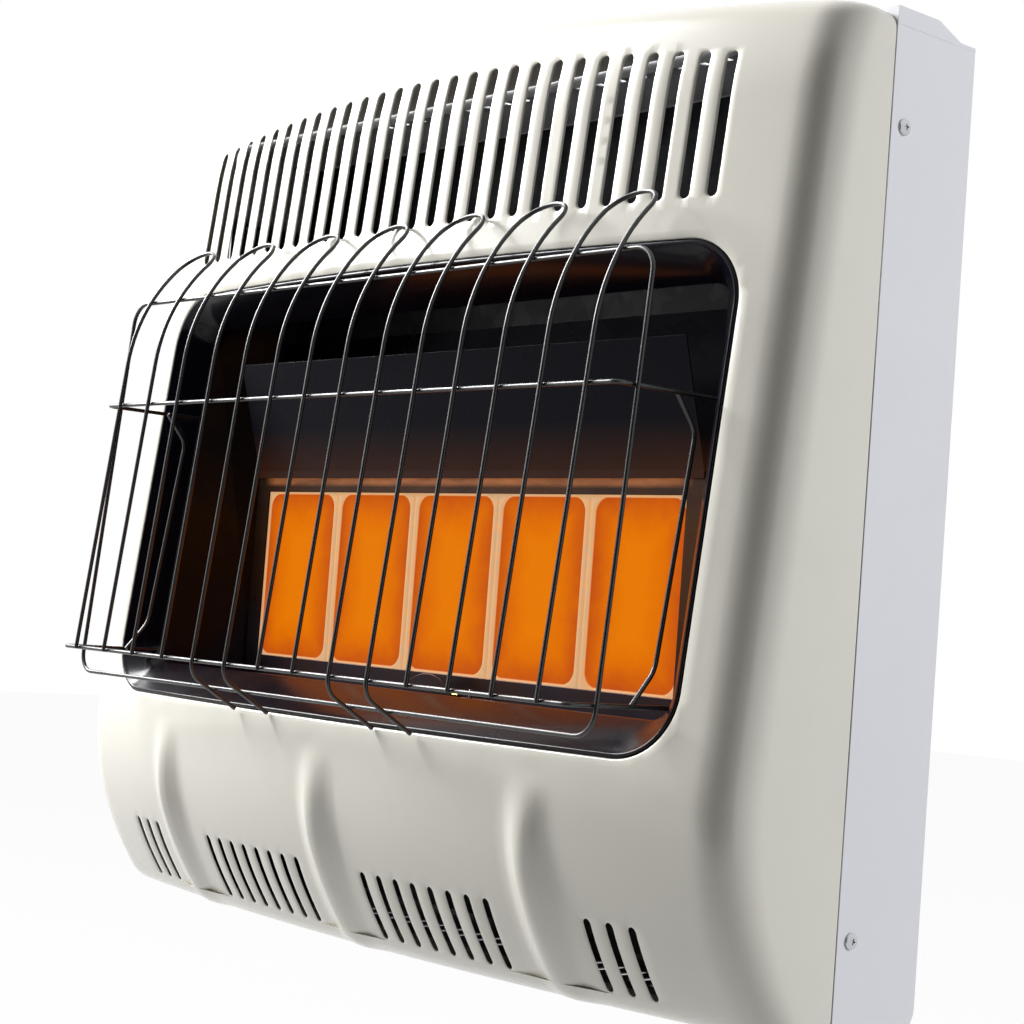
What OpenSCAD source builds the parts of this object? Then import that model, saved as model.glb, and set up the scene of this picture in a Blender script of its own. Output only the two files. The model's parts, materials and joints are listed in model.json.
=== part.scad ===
/* [Case] */
// Width over the side panels
case_w = 690; // [640:1:760]
// Height of the side panels
case_h = 596; // [580:1:640]
// Depth of the case from the wall to the seam with the front panel
case_d = 77; // [74:0.5:100]
// Thickness of the case sheet
sheet_t = 1.2; // [0.8:0.1:1.4]
// Open seam between the front panel and the case
seam_gap = 1.2; // [0.5:0.1:2]
// Width of the inward flange along the rear of each side panel
rear_flange_w = 20; // [12:1:26]
// Radius of the lower rear corner of a side panel
side_corner_r = 14; // [6:1:20]
// Rise of the top cover above the side panels
cover_rise = 11; // [8:0.5:16]
// Depth of the level part of the top cover
cover_flat_d = 39; // [36:1:42]
// Depth of the slope behind it
cover_slope_d = 22; // [16:1:26]
// Depth of the control well below the side panels' top
well_drop = 8; // [6:0.5:10]
// Clearance between the controls and the walls of the well
well_gap = 7; // [5:0.5:8]
// Width of a louvre in the top cover
louvre_w = 6; // [4:0.5:8]
// Pitch of the louvres in the top cover
louvre_pitch = 20; // [16:1:24]
// Number of louvres on each side of the middle
louvre_half_count = 9; // [4:1:9]
// Width of a rear air inlet in the back panel
back_vent_w = 40; // [20:1:50]
// Height of a rear air inlet in the back panel
back_vent_h = 6; // [4:0.5:10]

/* [Front panel] */
// Depth of the belly at the side edge, measured from the wall
belly_d = 176; // [168:1:190]
// Height of the deepest line of the belly
belly_z = 150; // [140:1:152]
// How far the belly tucks back at its lowest edge
belly_tuck = 67.5; // [40:0.5:75]
// Rise over run at which the face leans back above the belly
lean_share = 0.11; // [0.06:0.005:0.13]
// How far the middle of the face stands proud of its edges
face_bow = 27; // [15:1:32]
// Radius of the vertical front corners
corner_r = 30; // [20:1:34]
// Radius of the top and bottom front edges
edge_r = 12; // [8:0.5:14]
// Rise of the arched top edge in its middle
top_arch = 18; // [8:0.5:24]
// Distance from the top of the case down to where the face starts to roll back
roll_drop = 51; // [36:1:66]
// How far the top of the face rolls back
top_tuck = 6; // [2:0.5:10]
// Height of an embossed rib where it stands most proud
rib_out = 9; // [5:0.5:12]
// Half width of an embossed rib
rib_half_w = 20; // [14:1:26]
// Distance from the side of the case to each outer rib
rib_side = 147; // [130:1:165]
// Height of the tip of a rib
rib_top_z = 136; // [120:1:142]

/* [Grilles] */
// Number of slots in the top grille
top_slots = 28; // [20:2:28]
// Distance from the side of the case to the end of the top grille
top_side = 65; // [58:0.5:100]
// Width of a slot in the top grille
top_slot_w = 7.5; // [5:0.5:9]
// Distance from the window up to the top slots
top_slot_gap = 25; // [20:1:38]
// Length of the outermost top slots
top_slot_len = 88.6; // [60:0.1:92]
// Extra length of the middle top slots
top_slot_arch = 17; // [0:0.5:18]
// Pitch of the slots in the bottom grille
low_pitch = 16.6; // [14:0.1:18]
// Width of a slot in the bottom grille
low_slot_w = 5.5; // [4:0.5:7]
// Height of the lower ends of the bottom slots
low_slot_z = 13; // [12:0.5:24]
// Height of the upper ends of the bottom slots
low_slot_top_z = 57; // [44:1:70]
// Distance from the middle to the first slot of an inner group
low_inner_x = 37; // [32:1:44]
// Number of slots in an inner group
low_inner_count = 8; // [4:1:8]
// Distance from the side of the case to the first slot of an outer group
low_outer_side = 110.5; // [105:0.5:117]
// Number of slots in an outer group
low_outer_count = 3; // [2:1:4]

/* [Window] */
// Distance from the side of the case to the window in the front panel
window_side = 45; // [42:0.5:50]
// Height of the lower edge of the window
window_z = 153; // [152:0.5:156]
// Distance from the top edge of the window up to the top of the case
window_drop = 134; // [131:1:143]
// Corner radius of the window
window_r = 42; // [30:1:50]
// Width of the visible band of the surround
surround_band = 21; // [16:0.5:24]
// Depth of the surround's inner edge below its sides
surround_d = 20; // [14:0.5:24]
// Clearance between the surround and the front panel
surround_gap = 0.6; // [0.4:0.1:0.9]

/* [Burner] */
// Distance from the side of the window to the row of ceramic plaques
plaque_side = 73; // [73:0.5:88]
// Distance from the top of the window down to the tops of the plaques
plaque_drop = 146; // [144:1:158]
// Thickness of a ceramic plaque
plaque_t = 13; // [10:0.5:15]
// Cement joint between two plaques
plaque_gap = 1; // [0.5:0.1:2]
// Number of plaques in the row
plaque_count = 5; // [5:1:5]
// Height of the lower edge of the plaques
plaque_z = 184; // [183:0.5:190]
// Distance from the wall to the front of the plaques
plaque_y = 99; // [96:0.5:104]
// Depth of the gas plenum behind the plaques
plenum_d = 36; // [28:1:38]
// Wall of the gas plenum
plenum_t = 1.5; // [1:0.1:2]
// Thickness of the fibre gasket
gasket_t = 2; // [1:0.5:3]
// Height of the rails of the burner frame
rail_h = 9; // [6:0.5:9.5]
// Thickness of the reflector sheet
reflector_t = 0.8; // [0.6:0.1:1.2]
// Distance from the top of the window down to the top edge of the heat deflector
deflector_drop = 53; // [42:1:67]
// How far the heat deflector leans forward
deflector_lean = 24; // [14:1:27]
// Outside radius of the mixing tube
mixer_r = 12; // [10:0.5:12.5]

/* [Guard] */
// Diameter of the guard wire
wire_d = 3; // [2:0.1:3.4]
// Number of hoops
hoop_count = 7; // [7:2:7]
// Distance from the outermost upright wire to the end of the cross wires
hoop_side = 22.85; // [21:0.05:43]
// Height of the bottom cross wire
low_wire_z = 184; // [182:0.5:188]
// Distance from the top of the window down to the middle cross wire
mid_wire_drop = 95; // [87:1:107]
// Distance from the top of the window down to where the hoops start to bend back
bend_drop = 64; // [58:0.5:70]
// Radius of the bend at the top of the hoops
bend_r = 130; // [110:1:140]
// Angle to the upright at which a hoop ends in its loop
bend_end = 45; // [38:0.5:48]
// Distance from the side of the window in to the ends of the cross wires
cross_inset = 23; // [23:0.5:25]
// Radius of the corners of the cross wires
cross_corner_r = 6; // [4:0.5:8]
// Distance from the top of the window down to the top of the base ring
ring_top_drop = 13; // [11:0.5:18]
// Corner radius of the base ring
ring_corner_r = 15; // [10:0.5:20]
// Radius of the bend at the foot of a hook wire
hook_bend_r = 14; // [12:0.5:18]
// Angle to the upright of a hook wire's foot
hook_turn = 60; // [56:0.5:64]

/* [Controls] */
// Distance from the side of the case to the axis of the control knob
knob_side = 50; // [45:1:55]
// Distance of the knob and the igniter from the wall
control_y = 42; // [41:0.5:44]
// Radius of the control knob
knob_r = 19; // [15:0.5:20]
// Height of the control knob
knob_h = 14; // [12:0.5:16]
// Gap under the knob at rest
knob_lift = 5; // [4.8:0.1:6]
// Travel of the knob when it is pushed in to light the pilot
knob_travel = 3.6; // [3:0.1:4]
// Radius of the knob's stem
stem_r = 3; // [2.5:0.1:4]
// Running clearance of a shaft in its hole
run_gap = 0.08; // [0.04:0.01:0.1]
// Distance from the axis of the knob to the axis of the igniter
igniter_spacing = 49; // [47:1:55]
// Radius of the igniter body
igniter_r = 8; // [7:0.5:9]
// Radius of the igniter button
button_r = 6; // [5:0.25:6.5]
// Height of the igniter button above its nut
button_h = 9; // [8:0.5:12]
// Travel of the igniter button
button_travel = 6; // [4:0.5:7]
// Height of the igniter's threaded rim above the cover
igniter_rim_h = 4; // [3:0.5:6]
// Width of the control valve
valve_w = 56; // [48:1:58]
// Depth of the control valve
valve_d = 50; // [44:1:52]
// Height of the control valve
valve_h = 62; // [54:1:66]

/* [Gas train] */
// Outside radius of the gas pipes
pipe_r = 5; // [4:0.5:5.5]
// Outside radius of the small pilot tube
pilot_tube_r = 2; // [1.5:0.1:2.5]
// Radius of the regulator
regulator_r = 27; // [24:0.5:28]
// Height of the regulator
regulator_h = 46; // [40:1:56]
// Radius of the tapped gas inlet
inlet_r = 7.4; // [7:0.1:8]
// Depth of the tapped gas inlet
inlet_len = 16; // [12:0.5:18]
// Radius of the sensing bulb
bulb_r = 4.5; // [3.5:0.25:5]
// Length of the sensing bulb
bulb_len = 60; // [40:1:70]

/* [Wall bracket] */
// Distance from the top of the case down to the middle of the bracket's screw holes
bracket_drop = 96; // [86:1:116]
// Width of the wall bracket
bracket_w = 440; // [425:1:480]
// Height of the wall bracket
bracket_h = 56; // [50:1:64]
// Distance between the screw holes along the wall
bracket_hole_x = 406.4; // [400:0.1:408]
// Distance between the two rows of screw holes
bracket_hole_z = 30; // [26:0.5:32]
// Radius of a screw hole in the bracket
bracket_hole_r = 3.25; // [2.5:0.05:3.5]
// Distance of each hanging tongue from the middle
tongue_x = 130; // [110:1:150]
// Width of a hanging tongue
tongue_w = 30; // [24:1:36]
// Reach of a hanging tongue into the case
tongue_reach = 11; // [8:0.5:12]

/* [Fasteners] */
// Radius of a case screw's head
screw_head_r = 5; // [4:0.25:5.5]
// Height of a case screw's head
screw_head_h = 2.2; // [1.6:0.1:2.6]
// Radius of a case screw's shank
screw_r = 1.9; // [1.5:0.05:2.1]
// Distance of the case screws behind the seam
screw_back = 13; // [11:0.5:15]
// Height of the lower case screws
screw_low_z = 57; // [50:1:70]
// Distance from the top of the case down to the upper case screws
screw_drop = 60; // [51:1:76]
// Length of a screw behind its head
screw_len = 7; // [5:0.5:9]

/* [Hidden] */
$fn = 40;

slot_sides = 16;
over = 1;
touch_gap = 0.3;
half_w = case_w / 2;
seam_y = -case_d;
case_front_y = seam_y + seam_gap;
inner_half_w = half_w - sheet_t;
back_y = -sheet_t;
back_front_y = -2 * sheet_t;
panel_top_z = case_h + cover_rise - touch_gap * 10;
roll_z = case_h - roll_drop;
rib_x = half_w - rib_side;
top_pitch = (case_w - 2 * top_side) / top_slots;
low_outer_x = half_w - low_outer_side;
window_w = case_w - 2 * window_side;
window_top_z = case_h - window_drop;
window_h = window_top_z - window_z;
top_slot_z = window_top_z + top_slot_gap;
plaque_w = (window_w - 2 * plaque_side - (plaque_count - 1) * plaque_gap) / plaque_count;
plaque_h = window_top_z - plaque_drop - plaque_z;
deflector_top_z = window_top_z - deflector_drop;
cross_half_w = window_w / 2 - cross_inset;
wire_pitch = (cross_half_w - hoop_side) / (hoop_count - 1 / 2);
mid_wire_z = window_top_z - mid_wire_drop;
bend_z = window_top_z - bend_drop;
ring_top_z = window_top_z - ring_top_drop;
knob_x = half_w - knob_side;
igniter_x = knob_x - igniter_spacing;
bracket_z = case_h - bracket_drop;
screw_high_z = case_h - screw_drop;
wire_r = wire_d / 2;
knuckle_share = 1.02;
lean_angle = atan(lean_share);

// Front panel surface, as columns across it and rows up it
bow_angle = atan(2 * face_bow / (half_w - corner_r));
bow_x = half_w - corner_r * (1 - sin(bow_angle));
corner_shares = [0, 0.25, 0.5, 0.75, 1];
flank_shares = [-1, -0.5, 0, 0.5, 1];
between_shares = [0.35, 0.7];
edge_shares = [0, 0.34, 0.67, 1];
belly_shares = [0.13, 0.27, 0.4, 0.53, 0.67, 0.8, 0.92];
roll_shares = [0.35, 0.7];
rib_low_share = 0.55;
rib_peak_share = 0.55;

function edge_depth(z) =
    let (below = max(0, belly_z - z), above = max(0, z - roll_z))
    -belly_d + lean_share * (z - belly_z)
    + belly_tuck * pow(below / belly_z, 2)
    + top_tuck * pow(above / (panel_top_z - edge_r - roll_z), 2);
function face_y(x, z) =
    edge_depth(z) + corner_r * (1 - cos(bow_angle)) - face_bow * (1 - pow(x / bow_x, 2));
function arch_at(x) = top_arch * (1 - pow(x / half_w, 2));
function rib_across(x) = let (s = min(abs(x), abs(abs(x) - rib_x)) / rib_half_w)
    s < 1 ? (1 + cos(180 * s)) / 2 : 0;
function rib_along(z) = let (s = z / rib_top_z)
    s >= 1 ? 0 : s > rib_peak_share ? sin(90 * (1 - s) / (1 - rib_peak_share))
    : rib_low_share + (1 - rib_low_share) * s / rib_peak_share;

function mirrored(list) = concat([for (i = [len(list) - 1 : -1 : 0]) -list[i]], list);
rib_columns = [for (s = flank_shares) s * rib_half_w];
right_columns = concat([for (s = flank_shares) if (s > 0) s * rib_half_w],
    [for (s = between_shares) rib_half_w + s * (rib_x - 2 * rib_half_w)],
    [for (s = flank_shares) rib_x + s * rib_half_w], [(rib_x + rib_half_w + bow_x) / 2]);
front_columns = concat([for (i = [len(right_columns) - 1 : -1 : 0]) right_columns[i]],
    [0], [for (x = right_columns) -x]);

// One level of the panel: a seam point, a corner, the bowed front, a corner and a seam point
function corner_points(side, yc, r) = [for (s = corner_shares)
    let (a = s * (90 - bow_angle)) [side * (half_w - corner_r + r * cos(a)), yc - r * sin(a)]];
function reversed(list) = [for (i = [len(list) - 1 : -1 : 0]) list[i]];
function level_outline(yf, inset, z, rear_y) =
    let (r = corner_r - inset, yc = yf + corner_r)
    concat([[half_w - inset, rear_y]], corner_points(1, yc, r),
        [for (x = front_columns) [x, yf + corner_r * (1 - cos(bow_angle))
            - face_bow * (1 - pow(x / bow_x, 2)) + inset - rib_out * rib_across(x) * rib_along(z)]],
        reversed(corner_points(-1, yc, r)), [[-half_w + inset, rear_y]]);

// Rows as height, inset and share of the arch
function panel_rows(off) = concat(
    [for (s = edge_shares) let (a = 90 * (1 - s))
        [edge_r - (edge_r - off) * sin(a), off + (edge_r - off) * (1 - cos(a)), 0]],
    [for (s = belly_shares) [edge_r + s * (belly_z - edge_r), off, 0]],
    [[belly_z, off, 0], [top_slot_z - edge_r, off, 0],
        [roll_z, off, (roll_z - top_slot_z + edge_r) / (panel_top_z - top_slot_z)]],
    [for (s = roll_shares) let (z = roll_z + s * (panel_top_z - edge_r - roll_z))
        [z, off, (z - top_slot_z + edge_r) / (panel_top_z - top_slot_z)]],
    [for (s = edge_shares) let (a = 90 * s)
        [panel_top_z - edge_r + (edge_r - off) * sin(a), off + (edge_r - off) * (1 - cos(a)), 1]]);

function panel_points(off, rear_y) = [for (row = panel_rows(off))
    let (z_face = min(max(row[0], 0), panel_top_z))
    [for (p = level_outline(edge_depth(z_face), row[1], z_face, rear_y))
        [p[0], p[1], row[0] + row[2] * arch_at(p[0]) * (p[1] == rear_y ? 0 : 1)]]];

module panel_solid(off, rear_y) {
    grid = panel_points(off, rear_y);
    n_rows = len(grid);
    n_cols = len(grid[0]);
    z_low = grid[0][0][2];
    z_high = grid[n_rows - 1][0][2];
    caps = [for (c = [2 : n_cols - 3]) grid[0][c][0]];
    n_caps = len(caps);
    points = concat([for (row = grid) each row],
        [for (x = caps) [x, rear_y, z_low]], [for (x = caps) [x, rear_y, z_high]]);
    low = n_rows * n_cols;
    high = low + n_caps;
    top = (n_rows - 1) * n_cols;
    faces = concat(
        [for (r = [0 : n_rows - 2], c = [0 : n_cols - 2]) each [
            [r * n_cols + c, r * n_cols + c + 1, (r + 1) * n_cols + c + 1],
            [r * n_cols + c, (r + 1) * n_cols + c + 1, (r + 1) * n_cols + c]]],
        [for (i = [0 : n_caps - 2]) each [
            [2 + i, low + i, low + i + 1], [2 + i, low + i + 1, 3 + i],
            [top + 2 + i, high + i + 1, high + i], [top + 2 + i, top + 3 + i, high + i + 1]]],
        [[0, low, 2], [0, 2, 1], [top, top + 2, high], [top, top + 1, top + 2],
            [n_cols - 1, n_cols - 3, high - 1], [n_cols - 1, n_cols - 2, n_cols - 3],
            [top + n_cols - 1, high + n_caps - 1, top + n_cols - 3],
            [top + n_cols - 1, top + n_cols - 3, top + n_cols - 2]],
        [concat([for (r = [n_rows - 1 : -1 : 0]) r * n_cols], [for (i = [0 : n_caps - 1]) low + i],
            [for (r = [0 : n_rows - 1]) r * n_cols + n_cols - 1],
            [for (i = [n_caps - 1 : -1 : 0]) high + i])]);
    polyhedron(points = points, faces = [for (f = faces) reversed(f)], convexity = 6);
}

// Surround and burner places
window_mid_z = window_z + window_h / 2;
row_w = plaque_count * plaque_w + (plaque_count - 1) * plaque_gap;
plenum_wall = 2 * plenum_t;
plenum_half_w = row_w / 2 + plenum_wall;
plenum_low_z = plaque_z - plenum_wall;
plenum_high_z = plaque_z + plaque_h + plenum_wall;
plaque_front_y = -plaque_y;
plaque_back_y = plaque_front_y + plaque_t;
plenum_front_y = plaque_back_y + gasket_t;
plenum_back_y = plenum_front_y + plenum_d;
frame_front_y = plaque_front_y - touch_gap - plenum_t;
bracket_low_z = plaque_z + plaque_h / 2;
bracket_high_z = plenum_high_z - rail_h;
frame_half_w = plenum_half_w + rail_h;
frame_low_z = plenum_low_z - rail_h;
frame_high_z = plenum_high_z + rail_h;
lip_half_w = window_w / 2 - surround_gap - touch_gap;
inner_loop_half_w = window_w / 2 - surround_band;
inner_loop_low_z = window_z + surround_band * 0.9;
inner_loop_high_z = window_z + window_h - surround_band;
side_lip_y = face_y(window_w / 2, window_z) + surround_d;
function inner_loop_y(z) = side_lip_y + lean_share * (z - window_z);

// Guard places
leg_top_y = face_y(0, top_slot_z + edge_r / 2) - wire_r - touch_gap;
loop_r = wire_pitch / 2;
arc_end_y = leg_top_y - loop_r * sin(bend_end);
bend_y = arc_end_y - bend_r * (cos(lean_angle) - cos(bend_end));
arc_end_z = bend_z + bend_r * (sin(bend_end) - sin(lean_angle));
function leg_y(z) = bend_y + lean_share * (z - bend_z);
hook_centre = [leg_y(low_wire_z) + hook_bend_r * cos(lean_angle), low_wire_z - hook_bend_r * sin(lean_angle)];
hook_start = [hook_centre[0] - hook_bend_r * cos(hook_turn), hook_centre[1] - hook_bend_r * sin(hook_turn)];
ring_half_w = cross_half_w + wire_d;
ring_low = hook_start + hook_bend_r * [sin(hook_turn), -cos(hook_turn)]
    + wire_d * [cos(hook_turn), sin(hook_turn)];
ring_top_angle = asin(sin(lean_angle) + (ring_top_z - bend_z) / bend_r);
ring_top = [bend_y + bend_r * (cos(lean_angle) - cos(ring_top_angle)) + wire_d * cos(ring_top_angle),
    ring_top_z - wire_d * sin(ring_top_angle)];

// Control and gas places
knob_pos = [knob_x, -control_y];
cover_top_z = case_h + cover_rise;
well_z = case_h - well_drop;
valve_top_z = well_z - sheet_t - valve_h / 6;
valve_low_z = valve_top_z - valve_h;
valve_neck_r = stem_r * 3;
knob_low_z = well_z + knob_lift;
rotor_r = stem_r * 2;
rotor_h = valve_h / 3;
spring_r = stem_r * 1.5;
spring_wire_r = stem_r / 5;
spring_turns = 4;
manifold_pos = [knob_x + valve_w * 0.3, -control_y - valve_d * 0.4];
supply_pos = [knob_x - valve_w * 0.14, -control_y + valve_d * 0.1];
mixer_z = plaque_z + plaque_h * 0.22;
mixer_mouth_x = manifold_pos[0] - pipe_r * 4.2;
elbow_half = pipe_r * 1.8;
regulator_low_z = inlet_len + sheet_t;
regulator_high_z = regulator_low_z + regulator_h;
pilot_x = 24;
hump_r = plaque_t * 2.6;
pilot_y = plaque_front_y - plaque_t;
pilot_low_z = plaque_z - rail_h * 2.7;
tube_low_z = pilot_low_z - rail_h * 1.5;
lead_low_z = pilot_low_z - rail_h * 0.6;
lead_r = pilot_tube_r * 0.75;
igniter_low_z = well_z - valve_h;
bulb_z = screw_low_z + bulb_r * 4;
capillary_r = pilot_tube_r / 2;
capillary_x = knob_x - valve_w / 2 + pilot_tube_r * 2;
capillary_y = back_front_y - bulb_r * 2;
screw_y = seam_y + screw_back;
screw_heights = [screw_low_z, screw_high_z];

// Shared shapes
module at_wall() translate([0, 0, -bracket_z]) children();
module box(lo, hi) translate(lo) cube(hi - lo);
module rod(a, b, r) {
    d = b - a;
    translate(a) rotate([0, acos(d[2] / norm(d)), atan2(d[1], d[0])]) cylinder(h = norm(d), r = r);
}
module pipe(points, r) {
    for (i = [0 : len(points) - 2]) rod(points[i], points[i + 1], r);
    for (i = [1 : 1 : len(points) - 2]) translate(points[i]) sphere(r = r * knuckle_share);
}
module round_rect(w, h, r) {
    square([w - 2 * r, h], center = true);
    square([w, h - 2 * r], center = true);
    for (x = [-1, 1], y = [-1, 1]) translate([x * (w / 2 - r), y * (h / 2 - r)]) circle(r);
}
module flat_slot(x, z_low, z_high, w) translate([x, 0]) {
    translate([-w / 2, z_low + w / 2]) square([w, z_high - z_low - w]);
    for (z = [z_low + w / 2, z_high - w / 2]) translate([0, z]) circle(w / 2, $fn = slot_sides);
}
module both_sides() {
    children();
    mirror([1, 0, 0]) children();
}

// Front panel and its window
module front_panel() color("ivory") at_wall() {
    // Resizing by nothing keeps both faceted skins and their slots as one mesh
    resize([0, 0, 0]) difference() {
        panel_solid(0, seam_y);
        panel_solid(sheet_t, seam_y + over);
        translate([0, seam_y - over, 0]) rotate([90, 0, 0]) linear_extrude(belly_d + face_bow) {
            translate([0, window_mid_z]) round_rect(window_w, window_h, window_r);
            for (i = [0 : top_slots - 1]) {
                x = (i - (top_slots - 1) / 2) * top_pitch;
                rise = top_slot_arch * (1 - pow(x / (top_slots / 2 * top_pitch), 2));
                flat_slot(x, top_slot_z, top_slot_z + top_slot_len + rise, top_slot_w);
            }
            for (side = [-1, 1]) {
                for (i = [0 : low_inner_count - 1])
                    flat_slot(side * (low_inner_x + i * low_pitch), low_slot_z, low_slot_top_z, low_slot_w);
                for (i = [0 : low_outer_count - 1])
                    flat_slot(side * (low_outer_x + i * low_pitch), low_slot_z, low_slot_top_z, low_slot_w);
            }
        }
    }
    for (z = screw_heights) both_sides() panel_tab(z);
}
module panel_tab(z) {
    tab_h = screw_back;
    tab_x = inner_half_w - touch_gap - sheet_t;
    difference() {
        union() {
            box([tab_x, seam_y - screw_back, z - tab_h], [inner_half_w + sheet_t / 2, seam_y - over, z + tab_h]);
            box([tab_x, seam_y - 2 * over, z - tab_h],
                [inner_half_w - touch_gap, screw_y + screw_back * 0.7, z + tab_h]);
        }
        rod([tab_x - over, screw_y, z], [half_w, screw_y, z], screw_r + touch_gap);
    }
}

surround_span_shares = [0, 0.125, 0.25, 0.375, 0.5, 0.625, 0.75, 0.875, 1];
surround_corner_shares = [0.2, 0.4, 0.6, 0.8];
function loop_corner(cx, cz, r, from) =
    [for (s = surround_corner_shares) [cx + r * cos(from + 90 * s), cz + r * sin(from + 90 * s)]];
function loop_outline(hw, z0, z1, r) = concat(
    [for (s = surround_span_shares) [(2 * s - 1) * (hw - r), z0]], loop_corner(hw - r, z0 + r, r, -90),
    [[hw, z0 + r], [hw, z1 - r]], loop_corner(hw - r, z1 - r, r, 0),
    [for (s = surround_span_shares) [(1 - 2 * s) * (hw - r), z1]], loop_corner(-hw + r, z1 - r, r, 90),
    [[-hw, z1 - r], [-hw, z0 + r]], loop_corner(-hw + r, z0 + r, r, 180));
module window_surround() color([0.06, 0.06, 0.08]) at_wall() {
    flange = surround_band / 3;
    t = sheet_t;
    lip_low = window_z + surround_gap + touch_gap;
    lip_high = window_z + window_h - surround_gap - touch_gap;
    loops = [
        [for (p = loop_outline(window_w / 2 + flange, window_z - flange, window_z + window_h + flange,
            window_r + flange)) [p[0], face_y(p[0], p[1]) + t + surround_gap, p[1]]],
        [for (p = loop_outline(lip_half_w, lip_low, lip_high, window_r)) [p[0], face_y(p[0], p[1]) + t
            + surround_gap, p[1]]],
        [for (p = loop_outline(lip_half_w, lip_low, lip_high, window_r)) [p[0], face_y(p[0], p[1])
            + touch_gap, p[1]]],
        [for (p = loop_outline(lip_half_w - t, lip_low + t, lip_high - t, window_r - t)) [p[0],
            face_y(p[0], p[1]) + touch_gap, p[1]]],
        [for (p = loop_outline(inner_loop_half_w, inner_loop_low_z, inner_loop_high_z, window_r / 2))
            [p[0], inner_loop_y(p[1]), p[1]]],
        [for (p = loop_outline(inner_loop_half_w, inner_loop_low_z, inner_loop_high_z, window_r / 2))
            [p[0], inner_loop_y(p[1]) + 2 * t, p[1]]],
        [for (p = loop_outline(lip_half_w - t, lip_low + t, lip_high - t, window_r - t)) [p[0],
            face_y(p[0], p[1]) + 2 * t + surround_gap, p[1]]],
        [for (p = loop_outline(window_w / 2 + flange, window_z - flange, window_z + window_h + flange,
            window_r + flange)) [p[0], face_y(p[0], p[1]) + 2 * t + surround_gap, p[1]]]];
    n = len(loops[0]);
    m = len(loops);
    polyhedron(points = [for (l = loops) each l], convexity = 4, faces = [for (k = [0 : m - 1], i = [0 : n - 1])
        let (a = k * n + i, b = k * n + (i + 1) % n, c = ((k + 1) % m) * n + (i + 1) % n, d = ((k + 1) % m) * n + i)
        each [[a, b, c], [a, c, d]]]);
}

// Case
module side_panel() {
    difference() {
        box([inner_half_w, case_front_y, 0], [half_w, 0, case_h]);
        difference() {
            box([inner_half_w - over, -side_corner_r, -over], [half_w + over, over, side_corner_r]);
            rod([inner_half_w - 2 * over, -side_corner_r, side_corner_r],
                [half_w + 2 * over, -side_corner_r, side_corner_r], side_corner_r);
        }
        for (z = screw_heights) rod([inner_half_w - over, screw_y, z], [half_w + over, screw_y, z],
            screw_r + touch_gap);
    }
    box([half_w - rear_flange_w, -sheet_t, side_corner_r], [half_w - sheet_t / 2, 0, case_h]);
}
module side_panel_left() color("whitesmoke") at_wall() mirror([1, 0, 0]) side_panel();
module side_panel_right() color("whitesmoke") at_wall() side_panel();

module back_panel() color("gainsboro") at_wall() {
    vents = 5;
    difference() {
        box([-inner_half_w, back_front_y, sheet_t], [inner_half_w, back_y, case_h]);
        for (side = [-1, 1]) box([side * tongue_x - tongue_w / 2 - 2 * over, back_front_y - over,
            bracket_z - bracket_h / 2], [side * tongue_x + tongue_w / 2 + 2 * over, back_y + over, bracket_z]);
        for (i = [0 : vents - 1], k = [1, 2, 3]) translate([(i - (vents - 1) / 2) * back_vent_w * 1.6,
            back_y + over, bulb_z + k * back_vent_h * 2.5]) rotate([90, 0, 0]) linear_extrude(sheet_t + 2 * over)
            round_rect(back_vent_w, back_vent_h, back_vent_h / 2.5);
    }
}
module bottom_panel() color("gainsboro") at_wall() difference() {
    box([-inner_half_w, case_front_y, 0], [inner_half_w, -side_corner_r, sheet_t]);
    translate([supply_pos[0], supply_pos[1], -over]) cylinder(h = sheet_t + 2 * over, r = inlet_r * 2);
    for (i = [-louvre_half_count : louvre_half_count]) if (i * louvre_pitch < supply_pos[0] - inlet_r * 4)
        box([i * louvre_pitch - louvre_w / 2, case_front_y + louvre_pitch, -over],
            [i * louvre_pitch + louvre_w / 2, -louvre_pitch, sheet_t + over]);
}
module well_block(grow, low_z) box([igniter_x - igniter_r * 1.4 - well_gap - grow, -control_y - knob_r - well_gap / 2
    - grow, low_z], [knob_x + knob_r + well_gap + grow, -control_y + knob_r + well_gap / 2 + grow, cover_top_z + over]);
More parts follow.
